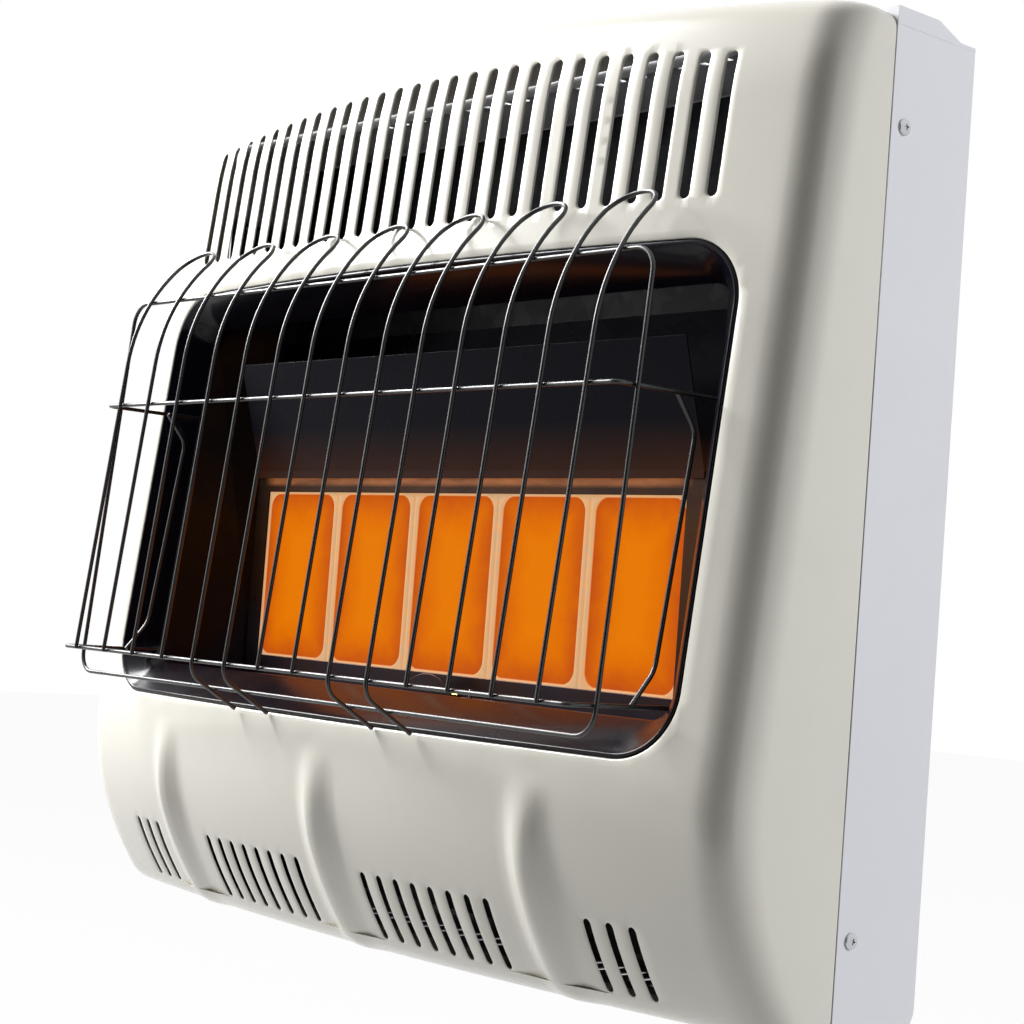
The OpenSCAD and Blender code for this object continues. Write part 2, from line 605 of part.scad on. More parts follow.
module top_cover() color("ivory") at_wall() {
    rear_z = case_h + sheet_t;
    y_flat = case_front_y + cover_flat_d;
    y_slope = y_flat + cover_slope_d;
    skin = [[case_front_y, case_h], [case_front_y, cover_top_z], [y_flat, cover_top_z],
        [y_slope, rear_z + sheet_t], [0, rear_z + sheet_t], [0, case_h], [back_front_y, case_h],
        [back_front_y, rear_z], [y_slope, rear_z], [y_flat, cover_top_z - sheet_t],
        [case_front_y + sheet_t, cover_top_z - sheet_t], [case_front_y + sheet_t, case_h]];
    cheek = [[case_front_y, case_h], [case_front_y, cover_top_z], [y_flat, cover_top_z],
        [y_slope, rear_z + sheet_t], [0, rear_z + sheet_t], [0, case_h]];
    under = [[case_front_y, well_z - sheet_t], [case_front_y, cover_top_z], [y_flat, cover_top_z],
        [y_slope, rear_z + sheet_t], [0, rear_z + sheet_t], [0, well_z - sheet_t]];
    difference() {
        union() {
            translate([-half_w, 0, 0]) rotate([90, 0, 90]) linear_extrude(case_w) polygon(skin);
            for (x = [-half_w, inner_half_w]) translate([x, 0, 0]) rotate([90, 0, 90])
                linear_extrude(sheet_t) polygon(cheek);
            intersection() {
                translate([-half_w, 0, 0]) rotate([90, 0, 90]) linear_extrude(case_w) polygon(under);
                well_block(sheet_t, well_z - sheet_t);
            }
        }
        well_block(0, well_z);
        for (i = [-louvre_half_count : louvre_half_count])
            box([i * louvre_pitch - louvre_w / 2, case_front_y + louvre_w, case_h + sheet_t * 2],
                [i * louvre_pitch + louvre_w / 2, y_flat - louvre_w, cover_top_z + over]);
        translate([knob_pos[0], knob_pos[1], well_z - sheet_t - over]) cylinder(h = sheet_t + 2 * over,
            r = valve_neck_r + touch_gap);
        translate([igniter_x, -control_y, well_z - sheet_t - over]) cylinder(h = sheet_t + 2 * over,
            r = igniter_r + touch_gap);
    }
}
module wall_bracket() color("silver") at_wall() {
    difference() {
        box([-bracket_w / 2, -sheet_t, bracket_z - bracket_h / 2], [bracket_w / 2, 0, bracket_z + bracket_h / 2]);
        for (x = [-1, 1], z = [-1, 1]) {
            hole = [x * bracket_hole_x / 2, 0, bracket_z + z * bracket_hole_z / 2];
            rod(hole - [0, sheet_t + over, 0], hole + [0, over, 0], bracket_hole_r);
        }
    }
    for (side = [-1, 1]) {
        tongue_z = bracket_z - sheet_t;
        x0 = side * tongue_x - tongue_w / 2;
        box([x0, -sheet_t - tongue_reach, tongue_z - sheet_t], [x0 + tongue_w, -sheet_t / 2, tongue_z]);
        box([x0, -sheet_t - tongue_reach, tongue_z - sheet_t],
            [x0 + tongue_w, -tongue_reach, tongue_z + tongue_reach]);
    }
}
module case_screws() color("silver") at_wall() for (z = screw_heights) both_sides() difference() {
    union() {
        rod([half_w + touch_gap / 2 - screw_len, screw_y, z], [half_w + screw_head_h / 2, screw_y, z], screw_r);
        rod([half_w + touch_gap / 2, screw_y, z], [half_w + screw_head_h, screw_y, z], screw_head_r);
    }
    for (turn = [0, 90]) translate([half_w + screw_head_h, screw_y, z]) rotate([turn, 0, 0])
        cube([screw_head_h, screw_head_r, screw_r / 2], center = true);
}
module rear_heat_shield() color("lightgrey") at_wall() {
    shield_y = plenum_back_y / 2;
    x1 = igniter_x - igniter_r * 3;
    x0 = -inner_half_w + rear_flange_w;
    z0 = window_z + rear_flange_w / 2;
    z1 = bracket_z - bracket_h;
    notch = touch_gap + run_gap;
    difference() {
        box([x0, shield_y - reflector_t, z0], [x1, shield_y, z1]);
        box([-plenum_half_w - plenum_t - notch, shield_y - reflector_t - over, bracket_low_z - notch],
            [-plenum_half_w + notch, shield_y + over, bracket_high_z + notch]);
    }
    for (z = [z0, z1 - reflector_t]) box([x0, shield_y - reflector_t / 2, z], [x1, back_front_y, z + reflector_t]);
}

// Burner
module burner_plenum() color("grey") at_wall() difference() {
    box([-plenum_half_w, plenum_front_y, plenum_low_z], [plenum_half_w, plenum_back_y, plenum_high_z]);
    box([-plenum_half_w + plenum_t, plenum_front_y - over, plenum_low_z + plenum_t],
        [plenum_half_w - plenum_t, plenum_back_y - plenum_t, plenum_high_z - plenum_t]);
    rod([plenum_half_w - 2 * plenum_t, manifold_pos[1], mixer_z], [plenum_half_w + over, manifold_pos[1], mixer_z],
        mixer_r + run_gap);
}
module plenum_gasket() color("white") at_wall() {
    seat = plenum_wall * 2;
    difference() {
        box([-plenum_half_w, plaque_back_y, plenum_low_z], [plenum_half_w, plenum_front_y, plenum_high_z]);
        box([-plenum_half_w + seat, plaque_back_y - over, plenum_low_z + seat],
            [plenum_half_w - seat, plenum_front_y + over, plenum_high_z - seat]);
    }
}
module burner_frame() color("darkgrey") at_wall() {
    t = plenum_t;
    lip = plenum_t * 2;
    skirt_y = plenum_front_y + t;
    skirt_in = touch_gap;
    difference() {
        box([-frame_half_w, frame_front_y, frame_low_z], [frame_half_w, frame_front_y + t, frame_high_z]);
        box([-row_w / 2 + lip, frame_front_y - over, plaque_z + lip],
            [row_w / 2 - lip, frame_front_y + t + over, plaque_z + plaque_h - lip]);
    }
    difference() {
        box([-plenum_half_w - skirt_in - t, frame_front_y + t / 2, plenum_low_z - skirt_in - t],
            [plenum_half_w + skirt_in + t, skirt_y, plenum_high_z + skirt_in + t]);
        box([-plenum_half_w - skirt_in, frame_front_y - over, plenum_low_z - skirt_in],
            [plenum_half_w + skirt_in, skirt_y + over, plenum_high_z + skirt_in]);
    }
}
module plaque(place) color("orange") at_wall() {
    x = (place - (plaque_count - 1) / 2) * (plaque_w + plaque_gap);
    border = plaque_w / 11;
    sunk = plaque_t / 8;
    difference() {
        box([x - plaque_w / 2, plaque_front_y, plaque_z], [x + plaque_w / 2, plaque_back_y, plaque_z + plaque_h]);
        translate([x, plaque_front_y + sunk, plaque_z + plaque_h / 2]) rotate([90, 0, 0])
            linear_extrude(sunk + over) round_rect(plaque_w - 2 * border, plaque_h - 2 * border, border);
    }
}
module plaque_far_left() plaque(0);
module plaque_left() plaque(1);
module plaque_centre() plaque(2);
module plaque_right() plaque(3);
module plaque_far_right() plaque(4);
module burner_brackets() color("grey") at_wall() both_sides() {
    x0 = plenum_half_w;
    box([x0, plenum_front_y + rail_h * 2, bracket_low_z], [x0 + plenum_t, back_front_y, bracket_high_z]);
    box([x0, back_front_y - plenum_t, bracket_low_z], [x0 + rear_flange_w, back_front_y, bracket_high_z]);
}
module heat_deflector() color([0.12, 0.12, 0.14]) at_wall() {
    y0 = frame_front_y - touch_gap;
    z0 = frame_high_z - rail_h / 2;
    z1 = frame_high_z + reflector_t;
    half = frame_half_w - reflector_t;
    lean = [[y0, z0], [y0, z1], [y0 - deflector_lean, deflector_top_z], [y0 - deflector_lean - reflector_t,
        deflector_top_z], [y0 - reflector_t, z1], [y0 - reflector_t, z0]];
    translate([-half, 0, 0]) rotate([90, 0, 90]) linear_extrude(2 * half) polygon(lean);
}
module reflector_side() {
    x0 = frame_half_w + touch_gap;
    x1 = inner_loop_half_w - touch_gap;
    y0 = frame_front_y - touch_gap;
    z0 = frame_low_z;
    z1 = inner_loop_high_z - touch_gap;
    clear = 2 * sheet_t + touch_gap;
    corners = [[x0, y0 + rail_h, z0], [x1, inner_loop_y(z0) + clear, z0], [x1, inner_loop_y(z1) + clear, z1],
        [x0, y0 + rail_h, z1]];
    polyhedron(points = concat(corners, [for (p = corners) p + [reflector_t, 0, 0]]),
        faces = [[0, 2, 1], [0, 3, 2], [4, 5, 6], [4, 6, 7], [0, 1, 5], [0, 5, 4], [1, 2, 6], [1, 6, 5],
            [2, 3, 7], [2, 7, 6], [3, 0, 4], [3, 4, 7]]);
}
module reflector_left() color("dimgrey") at_wall() mirror([1, 0, 0]) reflector_side();
module reflector_right() color("dimgrey") at_wall() reflector_side();
module reflector_lower() color([0.3, 0.2, 0.12]) at_wall() {
    y0 = frame_front_y - touch_gap;
    z0 = frame_low_z;
    y1 = inner_loop_y(inner_loop_low_z) + 2 * sheet_t + touch_gap;
    z1 = inner_loop_low_z + touch_gap;
    t = reflector_t;
    back = [[y0, z0 + t], [y0, z0 - rail_h], [y0 - t, z0 - rail_h], [y0 - t, z0], [y1, z1 - t], [y1, z1],
        [y0 - t, z0 + t]];
    half = frame_half_w - reflector_t;
    difference() {
        translate([-half, 0, 0]) rotate([90, 0, 90]) linear_extrude(2 * half) polygon(back);
        box([pilot_x - hump_r * 1.6, pilot_y - plaque_t, z0 - rail_h * 2],
            [pilot_x + hump_r * 1.1, y0 - t - over, z1 + rail_h]);
    }
}

// Gas train
module mixing_tube() color("silver") at_wall() {
    y = manifold_pos[1];
    mouth_r = mixer_r * 1.2;
    bore_r = mixer_r - plenum_t;
    x0 = plenum_half_w - plenum_t * 6;
    x1 = mixer_mouth_x;
    translate([0, y, mixer_z]) rotate([0, 90, 0]) rotate_extrude()
        polygon([[bore_r, x0], [mixer_r, x0], [mixer_r, x1 - mixer_r], [mouth_r, x1], [mouth_r - plenum_t, x1],
            [bore_r, x1 - mixer_r]]);
}
module injector() color("gold") at_wall() {
    x1 = manifold_pos[0] - elbow_half - touch_gap / 10;
    x0 = mixer_mouth_x - pipe_r;
    y = manifold_pos[1];
    hex_r = pipe_r * 1.2;
    difference() {
        union() {
            rod([x0, y, mixer_z], [x1, y, mixer_z], pipe_r * 0.8);
            translate([x1 - pipe_r, y, mixer_z]) rotate([0, 90, 0]) cylinder(h = pipe_r, r = hex_r, $fn = 6);
        }
        rod([x0 - over, y, mixer_z], [x1 + over, y, mixer_z], pipe_r / 6);
    }
}
module injector_elbow() color("gold") at_wall() {
    p = manifold_pos;
    e = elbow_half;
    difference() {
        box([p[0] - e, p[1] - e, mixer_z - e], [p[0] + e, p[1] + e, mixer_z + e * 1.4]);
        rod([p[0] - e - over, p[1], mixer_z], [p[0], p[1], mixer_z], pipe_r / 2);
        rod([p[0], p[1], mixer_z - pipe_r / 2], [p[0], p[1], mixer_z + e * 1.4 + over], pipe_r / 2);
    }
}
module gas_pipe(x, y, z0, z1) difference() {
    union() {
        rod([x, y, z0], [x, y, z1], pipe_r);
        for (z = [z0, z1 - pipe_r * 1.6]) translate([x, y, z]) cylinder(h = pipe_r * 1.6, r = pipe_r * 1.6, $fn = 6);
    }
    rod([x, y, z0 - over], [x, y, z1 + over], pipe_r * 0.7);
}
module manifold_pipe() color("silver") at_wall()
    gas_pipe(manifold_pos[0], manifold_pos[1], mixer_z + elbow_half * 1.4, valve_low_z);
module supply_pipe() color("silver") at_wall()
    gas_pipe(supply_pos[0], supply_pos[1], regulator_high_z, valve_low_z);
module pressure_regulator() color("silver") at_wall() translate([supply_pos[0], supply_pos[1], regulator_low_z]) {
    flange_h = regulator_h / 8;
    dome_h = regulator_h * 0.4;
    difference() {
        union() {
            cylinder(h = dome_h, r = regulator_r * 0.8);
            translate([0, 0, dome_h]) cylinder(h = flange_h, r = regulator_r);
            translate([0, 0, dome_h + flange_h]) cylinder(h = regulator_h - dome_h - flange_h,
                r1 = regulator_r * 0.9, r2 = regulator_r * 0.4);
        }
        translate([0, 0, -over]) cylinder(h = regulator_h + 2 * over, r = pipe_r * 0.7);
    }
}
module inlet_fitting() color("gold") at_wall() translate([supply_pos[0], supply_pos[1], sheet_t]) difference() {
    cylinder(h = inlet_len, r = inlet_r * 1.6, $fn = 6);
    translate([0, 0, -over]) cylinder(h = inlet_len + 2 * over, r = inlet_r);
}
module regulator_bracket() color("silver") at_wall() {
    z0 = regulator_low_z + regulator_h * 0.15;
    h = regulator_h / 4;
    x = supply_pos[0];
    reach = regulator_r * 0.8 + touch_gap;
    difference() {
        box([x - regulator_r, supply_pos[1], z0], [x + regulator_r, back_front_y, z0 + h]);
        translate([x, supply_pos[1], z0 - over]) cylinder(h = h + 2 * over, r = reach);
        box([x - regulator_r + sheet_t * 2, supply_pos[1] - over, z0 + sheet_t * 2],
            [x + regulator_r - sheet_t * 2, back_front_y - sheet_t * 2, z0 + h + over]);
    }
}
module gas_valve() color("silver") at_wall() {
    x = knob_pos[0];
    y = knob_pos[1];
    neck_z = well_z + knob_lift - knob_travel - touch_gap * 2;
    difference() {
        union() {
            box([x - valve_w / 2, y - valve_d / 2, valve_low_z], [x + valve_w / 2, y + valve_d / 2, valve_top_z]);
            rod([x, y, valve_top_z - over], [x, y, neck_z], valve_neck_r);
        }
        rod([x, y, valve_top_z - rotor_h * 2], [x, y, valve_top_z], rotor_r + run_gap);
        rod([x, y, valve_top_z - over], [x, y, neck_z + over], stem_r + run_gap);
        for (p = [manifold_pos, supply_pos]) translate([p[0], p[1], valve_low_z - over])
            cylinder(h = valve_h / 4, r = pipe_r * 0.7);
    }
}
module valve_bracket() color("silver") at_wall() {
    x = knob_pos[0];
    y1 = knob_pos[1] + valve_d / 2;
    z1 = valve_low_z + valve_h * 0.7;
    box([x - valve_w / 2, y1, valve_low_z], [x + valve_w / 2, y1 + sheet_t, z1]);
    for (z = [valve_low_z, z1 - sheet_t]) box([x - valve_w / 2, y1 + sheet_t / 2, z], [x + valve_w / 2, back_front_y,
        z + sheet_t]);
}
module valve_rotor() color("gold") at_wall() {
    z1 = valve_top_z - run_gap;
    z0 = z1 - rotor_h;
    difference() {
        rod([knob_pos[0], knob_pos[1], z0], [knob_pos[0], knob_pos[1], z1], rotor_r);
        rod([knob_pos[0], knob_pos[1], z0 - over], [knob_pos[0], knob_pos[1], z1 + over], stem_r + run_gap);
    }
}
stem_foot_z = valve_top_z - rotor_h - knob_travel / 3;
module valve_stem() color("silver") at_wall() {
    x = knob_pos[0];
    y = knob_pos[1];
    collar_h = stem_r;
    rod([x, y, stem_foot_z - collar_h], [x, y, knob_low_z + knob_h / 2], stem_r);
    rod([x, y, stem_foot_z - collar_h], [x, y, stem_foot_z], rotor_r - stem_r / 4);
}
module control_knob() color([0.1, 0.1, 0.1]) at_wall() translate([knob_pos[0], knob_pos[1], knob_low_z]) {
    skirt_h = knob_h / 4;
    grips = 12;
    difference() {
        union() {
            cylinder(h = skirt_h, r = knob_r);
            cylinder(h = knob_h, r = knob_r * 0.82);
            translate([-knob_r / 14, 0, knob_h]) cube([knob_r / 7, knob_r * 0.75, knob_h / 25]);
        }
        for (i = [0 : grips - 1]) rotate([0, 0, (i + 0.5) * 360 / grips]) translate([knob_r * 0.88, 0, skirt_h])
            cylinder(h = knob_h, r = knob_r / 8);
        translate([0, 0, -over]) cylinder(h = knob_h / 2 + over, r = stem_r);
    }
}
// A coil as flat turns joined by short rising links
module coil(r, wire, turns, z0, z1) {
    flat_turn = 300;
    pitch = (z1 - z0 - 2 * wire) / (turns - 1);
    for (i = [0 : turns - 1]) translate([0, 0, z0 + wire + i * pitch]) {
        rotate_extrude(angle = flat_turn) translate([r, 0]) circle(wire);
        start = [r * cos(flat_turn), r * sin(flat_turn), 0];
        if (i < turns - 1) {
            rod(start, [r, 0, pitch], wire);
            translate(start) sphere(r = wire * knuckle_share);
            translate([r, 0, pitch]) sphere(r = wire * knuckle_share);
        }
    }
}
module stem_spring() color("silver") at_wall() translate([knob_pos[0], knob_pos[1], 0])
    coil(spring_r, spring_wire_r, spring_turns, valve_top_z - rotor_h * 2 + run_gap,
        stem_foot_z - stem_r - run_gap);

// Pilot
module pilot_bracket() color([0.25, 0.2, 0.16]) at_wall() {
    front_y = pilot_y - plaque_t / 2;
    low_z = pilot_low_z;
    t = reflector_t * 1.5;
    top = plaque_z + rail_h / 3;
    difference() {
        translate([pilot_x - hump_r / 2, front_y + t, top - hump_r]) rotate([90, 0, 0]) cylinder(h = t, r = hump_r);
        box([pilot_x - hump_r * 2, front_y - over, low_z - hump_r * 3], [pilot_x + hump_r * 2, front_y + 2 * t, low_z]);
    }
    box([pilot_x - hump_r, front_y, low_z], [pilot_x + hump_r, frame_front_y - touch_gap - reflector_t, low_z + t]);
}
pilot_seat_z = pilot_low_z + reflector_t * 1.5;
module pilot_burner() color("gold") at_wall() {
    y = (pilot_y - plaque_t / 2 + frame_front_y) / 2;
    r = plaque_t / 5;
    rod([pilot_x, y, pilot_seat_z], [pilot_x, y, pilot_seat_z + rail_h * 1.6], r);
    rod([pilot_x - r, y, pilot_seat_z + rail_h * 1.4], [pilot_x + r * 3, y, pilot_seat_z + rail_h * 1.4], r * 0.8);
}
module spark_electrode() color("white") at_wall() {
    y = (pilot_y - plaque_t / 2 + frame_front_y) / 2;
    x = pilot_x - plaque_t * 1.2;
    rod([x, y, pilot_seat_z], [x, y, pilot_seat_z + rail_h], plaque_t / 6);
    pipe([[x, y, pilot_seat_z + rail_h], [x, y, pilot_seat_z + rail_h * 1.6],
        [pilot_x - plaque_t * 0.4, y, pilot_seat_z + rail_h * 1.6]], plaque_t / 16);
}
module flame_sensor() color("silver") at_wall() {
    y = (pilot_y - plaque_t / 2 + frame_front_y) / 2;
    x = pilot_x + plaque_t * 1.5;
    rod([x, y, pilot_seat_z], [x, y, pilot_seat_z + rail_h * 1.6], plaque_t / 8);
    rod([x, y, pilot_seat_z + rail_h * 1.6], [x, y, pilot_seat_z + rail_h * 2], plaque_t / 12);
}
module pilot_tube() color("silver") at_wall() {
    y = (pilot_y - plaque_t / 2 + frame_front_y) / 2;
    x = knob_pos[0] - valve_w / 2 - pilot_tube_r * 4;
    z = valve_low_z + valve_h / 3;
    pipe([[knob_pos[0] - valve_w / 2, knob_pos[1], z], [x, knob_pos[1], z], [x, knob_pos[1], tube_low_z],
        [x, y, tube_low_z], [pilot_x, y, tube_low_z], [pilot_x, y, pilot_low_z]], pilot_tube_r);
}
module ignition_lead() color("black") at_wall() {
    y = (pilot_y - plaque_t / 2 + frame_front_y) / 2 + pilot_tube_r * 3;
    electrode_y = (pilot_y - plaque_t / 2 + frame_front_y) / 2;
    x = pilot_x - plaque_t * 1.2;
    pipe([[igniter_x, -control_y, igniter_low_z], [igniter_x, -control_y, lead_low_z], [igniter_x, y, lead_low_z],
        [x, y, lead_low_z], [x, electrode_y, lead_low_z], [x, electrode_y, pilot_low_z]], lead_r);
}
module sensing_bulb() color("chocolate") at_wall()
    rod([capillary_x - bulb_len - bulb_r * 2, capillary_y, bulb_z], [capillary_x - bulb_r * 2, capillary_y, bulb_z],
        bulb_r);
module capillary_tube() color("chocolate") at_wall()
    pipe([[capillary_x - bulb_r * 2, capillary_y, bulb_z], [capillary_x, capillary_y, bulb_z],
        [capillary_x, capillary_y, valve_low_z - pipe_r * 2], [capillary_x, knob_pos[1], valve_low_z - pipe_r * 2],
        [capillary_x, knob_pos[1], valve_low_z]], capillary_r);
module bulb_clips() color("silver") at_wall() for (s = [0.2, 0.8]) {
    x = capillary_x - bulb_r * 2 - bulb_len * s;
    clip_w = bulb_r;
    ring_r = bulb_r + sheet_t + touch_gap;
    difference() {
        union() {
            rod([x - clip_w, capillary_y, bulb_z], [x + clip_w, capillary_y, bulb_z], ring_r);
            box([x - clip_w, capillary_y, bulb_z - ring_r], [x + clip_w, back_front_y, bulb_z + ring_r]);
        }
        rod([x - clip_w - over, capillary_y, bulb_z], [x + clip_w + over, capillary_y, bulb_z], bulb_r + touch_gap);
    }
}

// Igniter
igniter_seat_z = well_z;
module igniter_body() color([0.12, 0.12, 0.12]) at_wall() translate([igniter_x, -control_y, 0]) {
    bore_z = igniter_seat_z - button_travel - button_h;
    difference() {
        union() {
            translate([0, 0, igniter_low_z]) cylinder(h = igniter_seat_z - igniter_low_z + igniter_rim_h, r = igniter_r);
            translate([0, 0, igniter_seat_z - sheet_t - igniter_r / 2 - touch_gap]) cylinder(h = igniter_r / 2,
            r = igniter_r * 1.3);
        }
        translate([0, 0, bore_z]) cylinder(h = igniter_rim_h + over + button_travel + button_h,
            r = button_r + run_gap);
        translate([0, 0, bore_z - igniter_r * 1.5]) cylinder(h = igniter_r * 2, r = button_r / 2 + run_gap);
    }
}
module igniter_nut() color("silver") at_wall() translate([igniter_x, -control_y, igniter_seat_z]) difference() {
    cylinder(h = igniter_rim_h * 0.75, r = igniter_r * 1.4, $fn = 6);
    translate([0, 0, -over]) cylinder(h = igniter_rim_h + over, r = igniter_r + run_gap);
}
module igniter_button() color([0.75, 0.1, 0.08]) at_wall() translate([igniter_x, -control_y, 0]) {
    z0 = igniter_seat_z - button_h / 2;
    z1 = igniter_seat_z + igniter_rim_h + button_h;
    difference() {
        translate([0, 0, z0]) cylinder(h = z1 - z0, r = button_r);
        translate([0, 0, z1 + button_r * 1.6]) sphere(r = button_r * 1.75);
    }
}
module igniter_plunger() color("gold") at_wall() translate([igniter_x, -control_y, 0]) {
    z1 = igniter_seat_z - button_h / 2;
    translate([0, 0, z1 - button_travel - button_h]) cylinder(h = button_travel + button_h, r = button_r / 2);
}

module igniter_spring() color("silver") at_wall() translate([igniter_x, -control_y, 0])
    coil(button_r * 0.75, button_r / 10, spring_turns, igniter_seat_z - button_travel - button_h + run_gap,
        igniter_seat_z - button_h / 2 - run_gap);

// Guard
module leg(x) {
    rod([x, leg_y(low_wire_z), low_wire_z], [x, bend_y, bend_z], wire_r);
    translate([x, bend_y + bend_r * cos(lean_angle), bend_z - bend_r * sin(lean_angle)]) rotate([0, -90, 0])
        rotate([0, 0, lean_angle - 90]) rotate_extrude(angle = bend_end - lean_angle) translate([bend_r, 0])
            circle(wire_r);
    knuckle([x, bend_y, bend_z]);
    knuckle([x, arc_end_y, arc_end_z]);
}
module knuckle(at) translate(at) sphere(r = wire_r * knuckle_share);
module hook(x) {
    reach = (face_y(x, window_z) - touch_gap - wire_r * cos(hook_turn) - hook_start[0]) / sin(hook_turn);
    hook_end = hook_start + reach * [sin(hook_turn), -cos(hook_turn)];
    translate([x, hook_centre[0], hook_centre[1]]) rotate([0, -90, 0]) rotate([0, 0, -hook_turn - 90])
        rotate_extrude(angle = hook_turn + lean_angle) translate([hook_bend_r, 0]) circle(wire_r);
    rod([x, hook_start[0], hook_start[1]], [x, hook_end[0], hook_end[1]], wire_r);
    knuckle([x, leg_y(low_wire_z), low_wire_z]);
    knuckle([x, hook_start[0], hook_start[1]]);
}
module guard_hoops() color([0.08, 0.08, 0.08]) at_wall() for (k = [0 : hoop_count - 1]) {
    x = (k - (hoop_count - 1) / 2) * 2 * wire_pitch;
    for (side = [-1, 1]) {
        leg(x + side * loop_r);
        if (abs(k - (hoop_count - 1) / 2) == 1) hook(x + side * loop_r);
    }
    translate([x, arc_end_y, arc_end_z]) rotate([90 - bend_end, 0, 0]) rotate_extrude(angle = 180)
        translate([loop_r, 0]) circle(wire_r);
}
module cross_wire(z, rear_y) {
    y = leg_y(z) + wire_d;
    r = cross_corner_r;
    rod([-cross_half_w + r, y, z], [cross_half_w - r, y, z], wire_r);
    both_sides() {
        translate([cross_half_w - r, y + r, z]) rotate([0, 0, -90]) rotate_extrude(angle = 90) translate([r, 0])
            circle(wire_r);
        rod([cross_half_w, y + r, z], [cross_half_w, rear_y, z], wire_r);
    }
}
module guard_middle_wire() color([0.08, 0.08, 0.08]) at_wall() cross_wire(mid_wire_z, inner_loop_y(mid_wire_z));
module guard_bottom_wire() color([0.08, 0.08, 0.08]) at_wall() cross_wire(low_wire_z, inner_loop_y(low_wire_z) - wire_d);
module guard_ring() color([0.08, 0.08, 0.08]) at_wall() {
    height = norm(ring_top - ring_low);
    lean = atan2(ring_top[0] - ring_low[0], ring_top[1] - ring_low[1]);
    r = ring_corner_r;
    w = ring_half_w;
    translate([0, ring_low[0], ring_low[1]]) rotate([-lean, 0, 0]) {
        for (z = [0, height]) rod([-w + r, 0, z], [w - r, 0, z], wire_r);
        both_sides() {
            rod([w, 0, r], [w, 0, height - r], wire_r);
            translate([w - r, 0, height - r]) rotate([90, 0, 0]) rotate_extrude(angle = 90) translate([r, 0])
                circle(wire_r);
            translate([w - r, 0, r]) rotate([90, 0, 0]) rotate([0, 0, -90]) rotate_extrude(angle = 90)
                translate([r, 0]) circle(wire_r);
        }
    }
}
module guard_stays() color([0.08, 0.08, 0.08]) at_wall() both_sides() {
    x = cross_half_w - wire_d;
    drop = surround_band;
    y_top = inner_loop_y(mid_wire_z) - drop;
    y_low = inner_loop_y(low_wire_z) - drop;
    pipe([[x, y_top - drop / 2, mid_wire_z], [x, y_top + drop / 3, mid_wire_z - drop],
        [x, y_low + drop / 3, low_wire_z + drop], [x, y_low - drop / 2, low_wire_z]], wire_r);
}

front_panel();
window_surround();
side_panel_left();
side_panel_right();
back_panel();
bottom_panel();
top_cover();
wall_bracket();
case_screws();
rear_heat_shield();
burner_plenum();
plenum_gasket();
burner_frame();
plaque_far_left();
plaque_left();
plaque_centre();
plaque_right();
plaque_far_right();
burner_brackets();
heat_deflector();
reflector_left();
reflector_right();
reflector_lower();
mixing_tube();
injector();
injector_elbow();
manifold_pipe();
supply_pipe();
pressure_regulator();
inlet_fitting();
regulator_bracket();
gas_valve();
valve_bracket();
valve_rotor();
valve_stem();
control_knob();
stem_spring();
pilot_bracket();
pilot_burner();
spark_electrode();
flame_sensor();
pilot_tube();
ignition_lead();
sensing_bulb();
capillary_tube();
bulb_clips();
igniter_body();
igniter_nut();
igniter_button();
igniter_plunger();
igniter_spring();
guard_hoops();
guard_ring();
guard_middle_wire();
guard_bottom_wire();
guard_stays();
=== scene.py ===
import json
import math
from contextlib import contextmanager

import bmesh
import bpy
import numpy as np
from mathutils import Matrix, Vector
from mathutils.geometry import delaunay_2d_cdt


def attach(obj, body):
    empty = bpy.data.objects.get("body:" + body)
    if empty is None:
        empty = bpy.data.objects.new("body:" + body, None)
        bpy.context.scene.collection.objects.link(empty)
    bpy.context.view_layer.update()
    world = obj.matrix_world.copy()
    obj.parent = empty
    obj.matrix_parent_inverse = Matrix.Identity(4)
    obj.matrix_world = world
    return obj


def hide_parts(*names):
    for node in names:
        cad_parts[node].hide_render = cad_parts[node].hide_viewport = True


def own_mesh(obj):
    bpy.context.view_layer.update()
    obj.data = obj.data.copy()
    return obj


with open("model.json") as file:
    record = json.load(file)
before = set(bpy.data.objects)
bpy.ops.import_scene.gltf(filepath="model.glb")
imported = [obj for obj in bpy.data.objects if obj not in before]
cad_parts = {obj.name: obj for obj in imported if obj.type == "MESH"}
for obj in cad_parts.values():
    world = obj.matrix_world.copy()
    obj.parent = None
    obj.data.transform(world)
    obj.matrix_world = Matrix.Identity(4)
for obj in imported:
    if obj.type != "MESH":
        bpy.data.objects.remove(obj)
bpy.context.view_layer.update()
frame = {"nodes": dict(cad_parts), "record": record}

cadNodes = frame["nodes"]
mm = 0.001

# sizes that several pieces share, in millimetres above the heater's bottom and in front of the wall
heater = {"bracketHeight": 500.0, "width": 690.0, "caseDepth": 77.0, "sheet": 1.2, "rearCorner": 14.0}
face = {"bellyDepth": 176.0, "bellyHeight": 150.0, "bellyTuck": 67.5, "lean": 0.11, "bow": 27.0,
        "corner": 30.0, "edge": 12.0, "arch": 18.0, "rollHeight": 545.0, "topTuck": 6.0, "top": 604.0,
        "columns": 109, "rows": 99}
window = {"width": 600.0, "low": 153.0, "height": 309.0, "corner": 42.0, "cornerSteps": 14, "sideStep": 6.0}


def toFrame(points):
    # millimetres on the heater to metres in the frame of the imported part
    points = np.asarray(points, dtype=float).copy()
    points[..., 2] -= heater["bracketHeight"]
    return points * mm


def linear(r, g, b):
    # an 8-bit screen colour as the linear colour that sockets take
    shares = (r / 255, g / 255, b / 255)
    return tuple(((c + 0.055) / 1.055) ** 2.4 if c > 0.0393 else c / 12.92 for c in shares) + (1.0,)


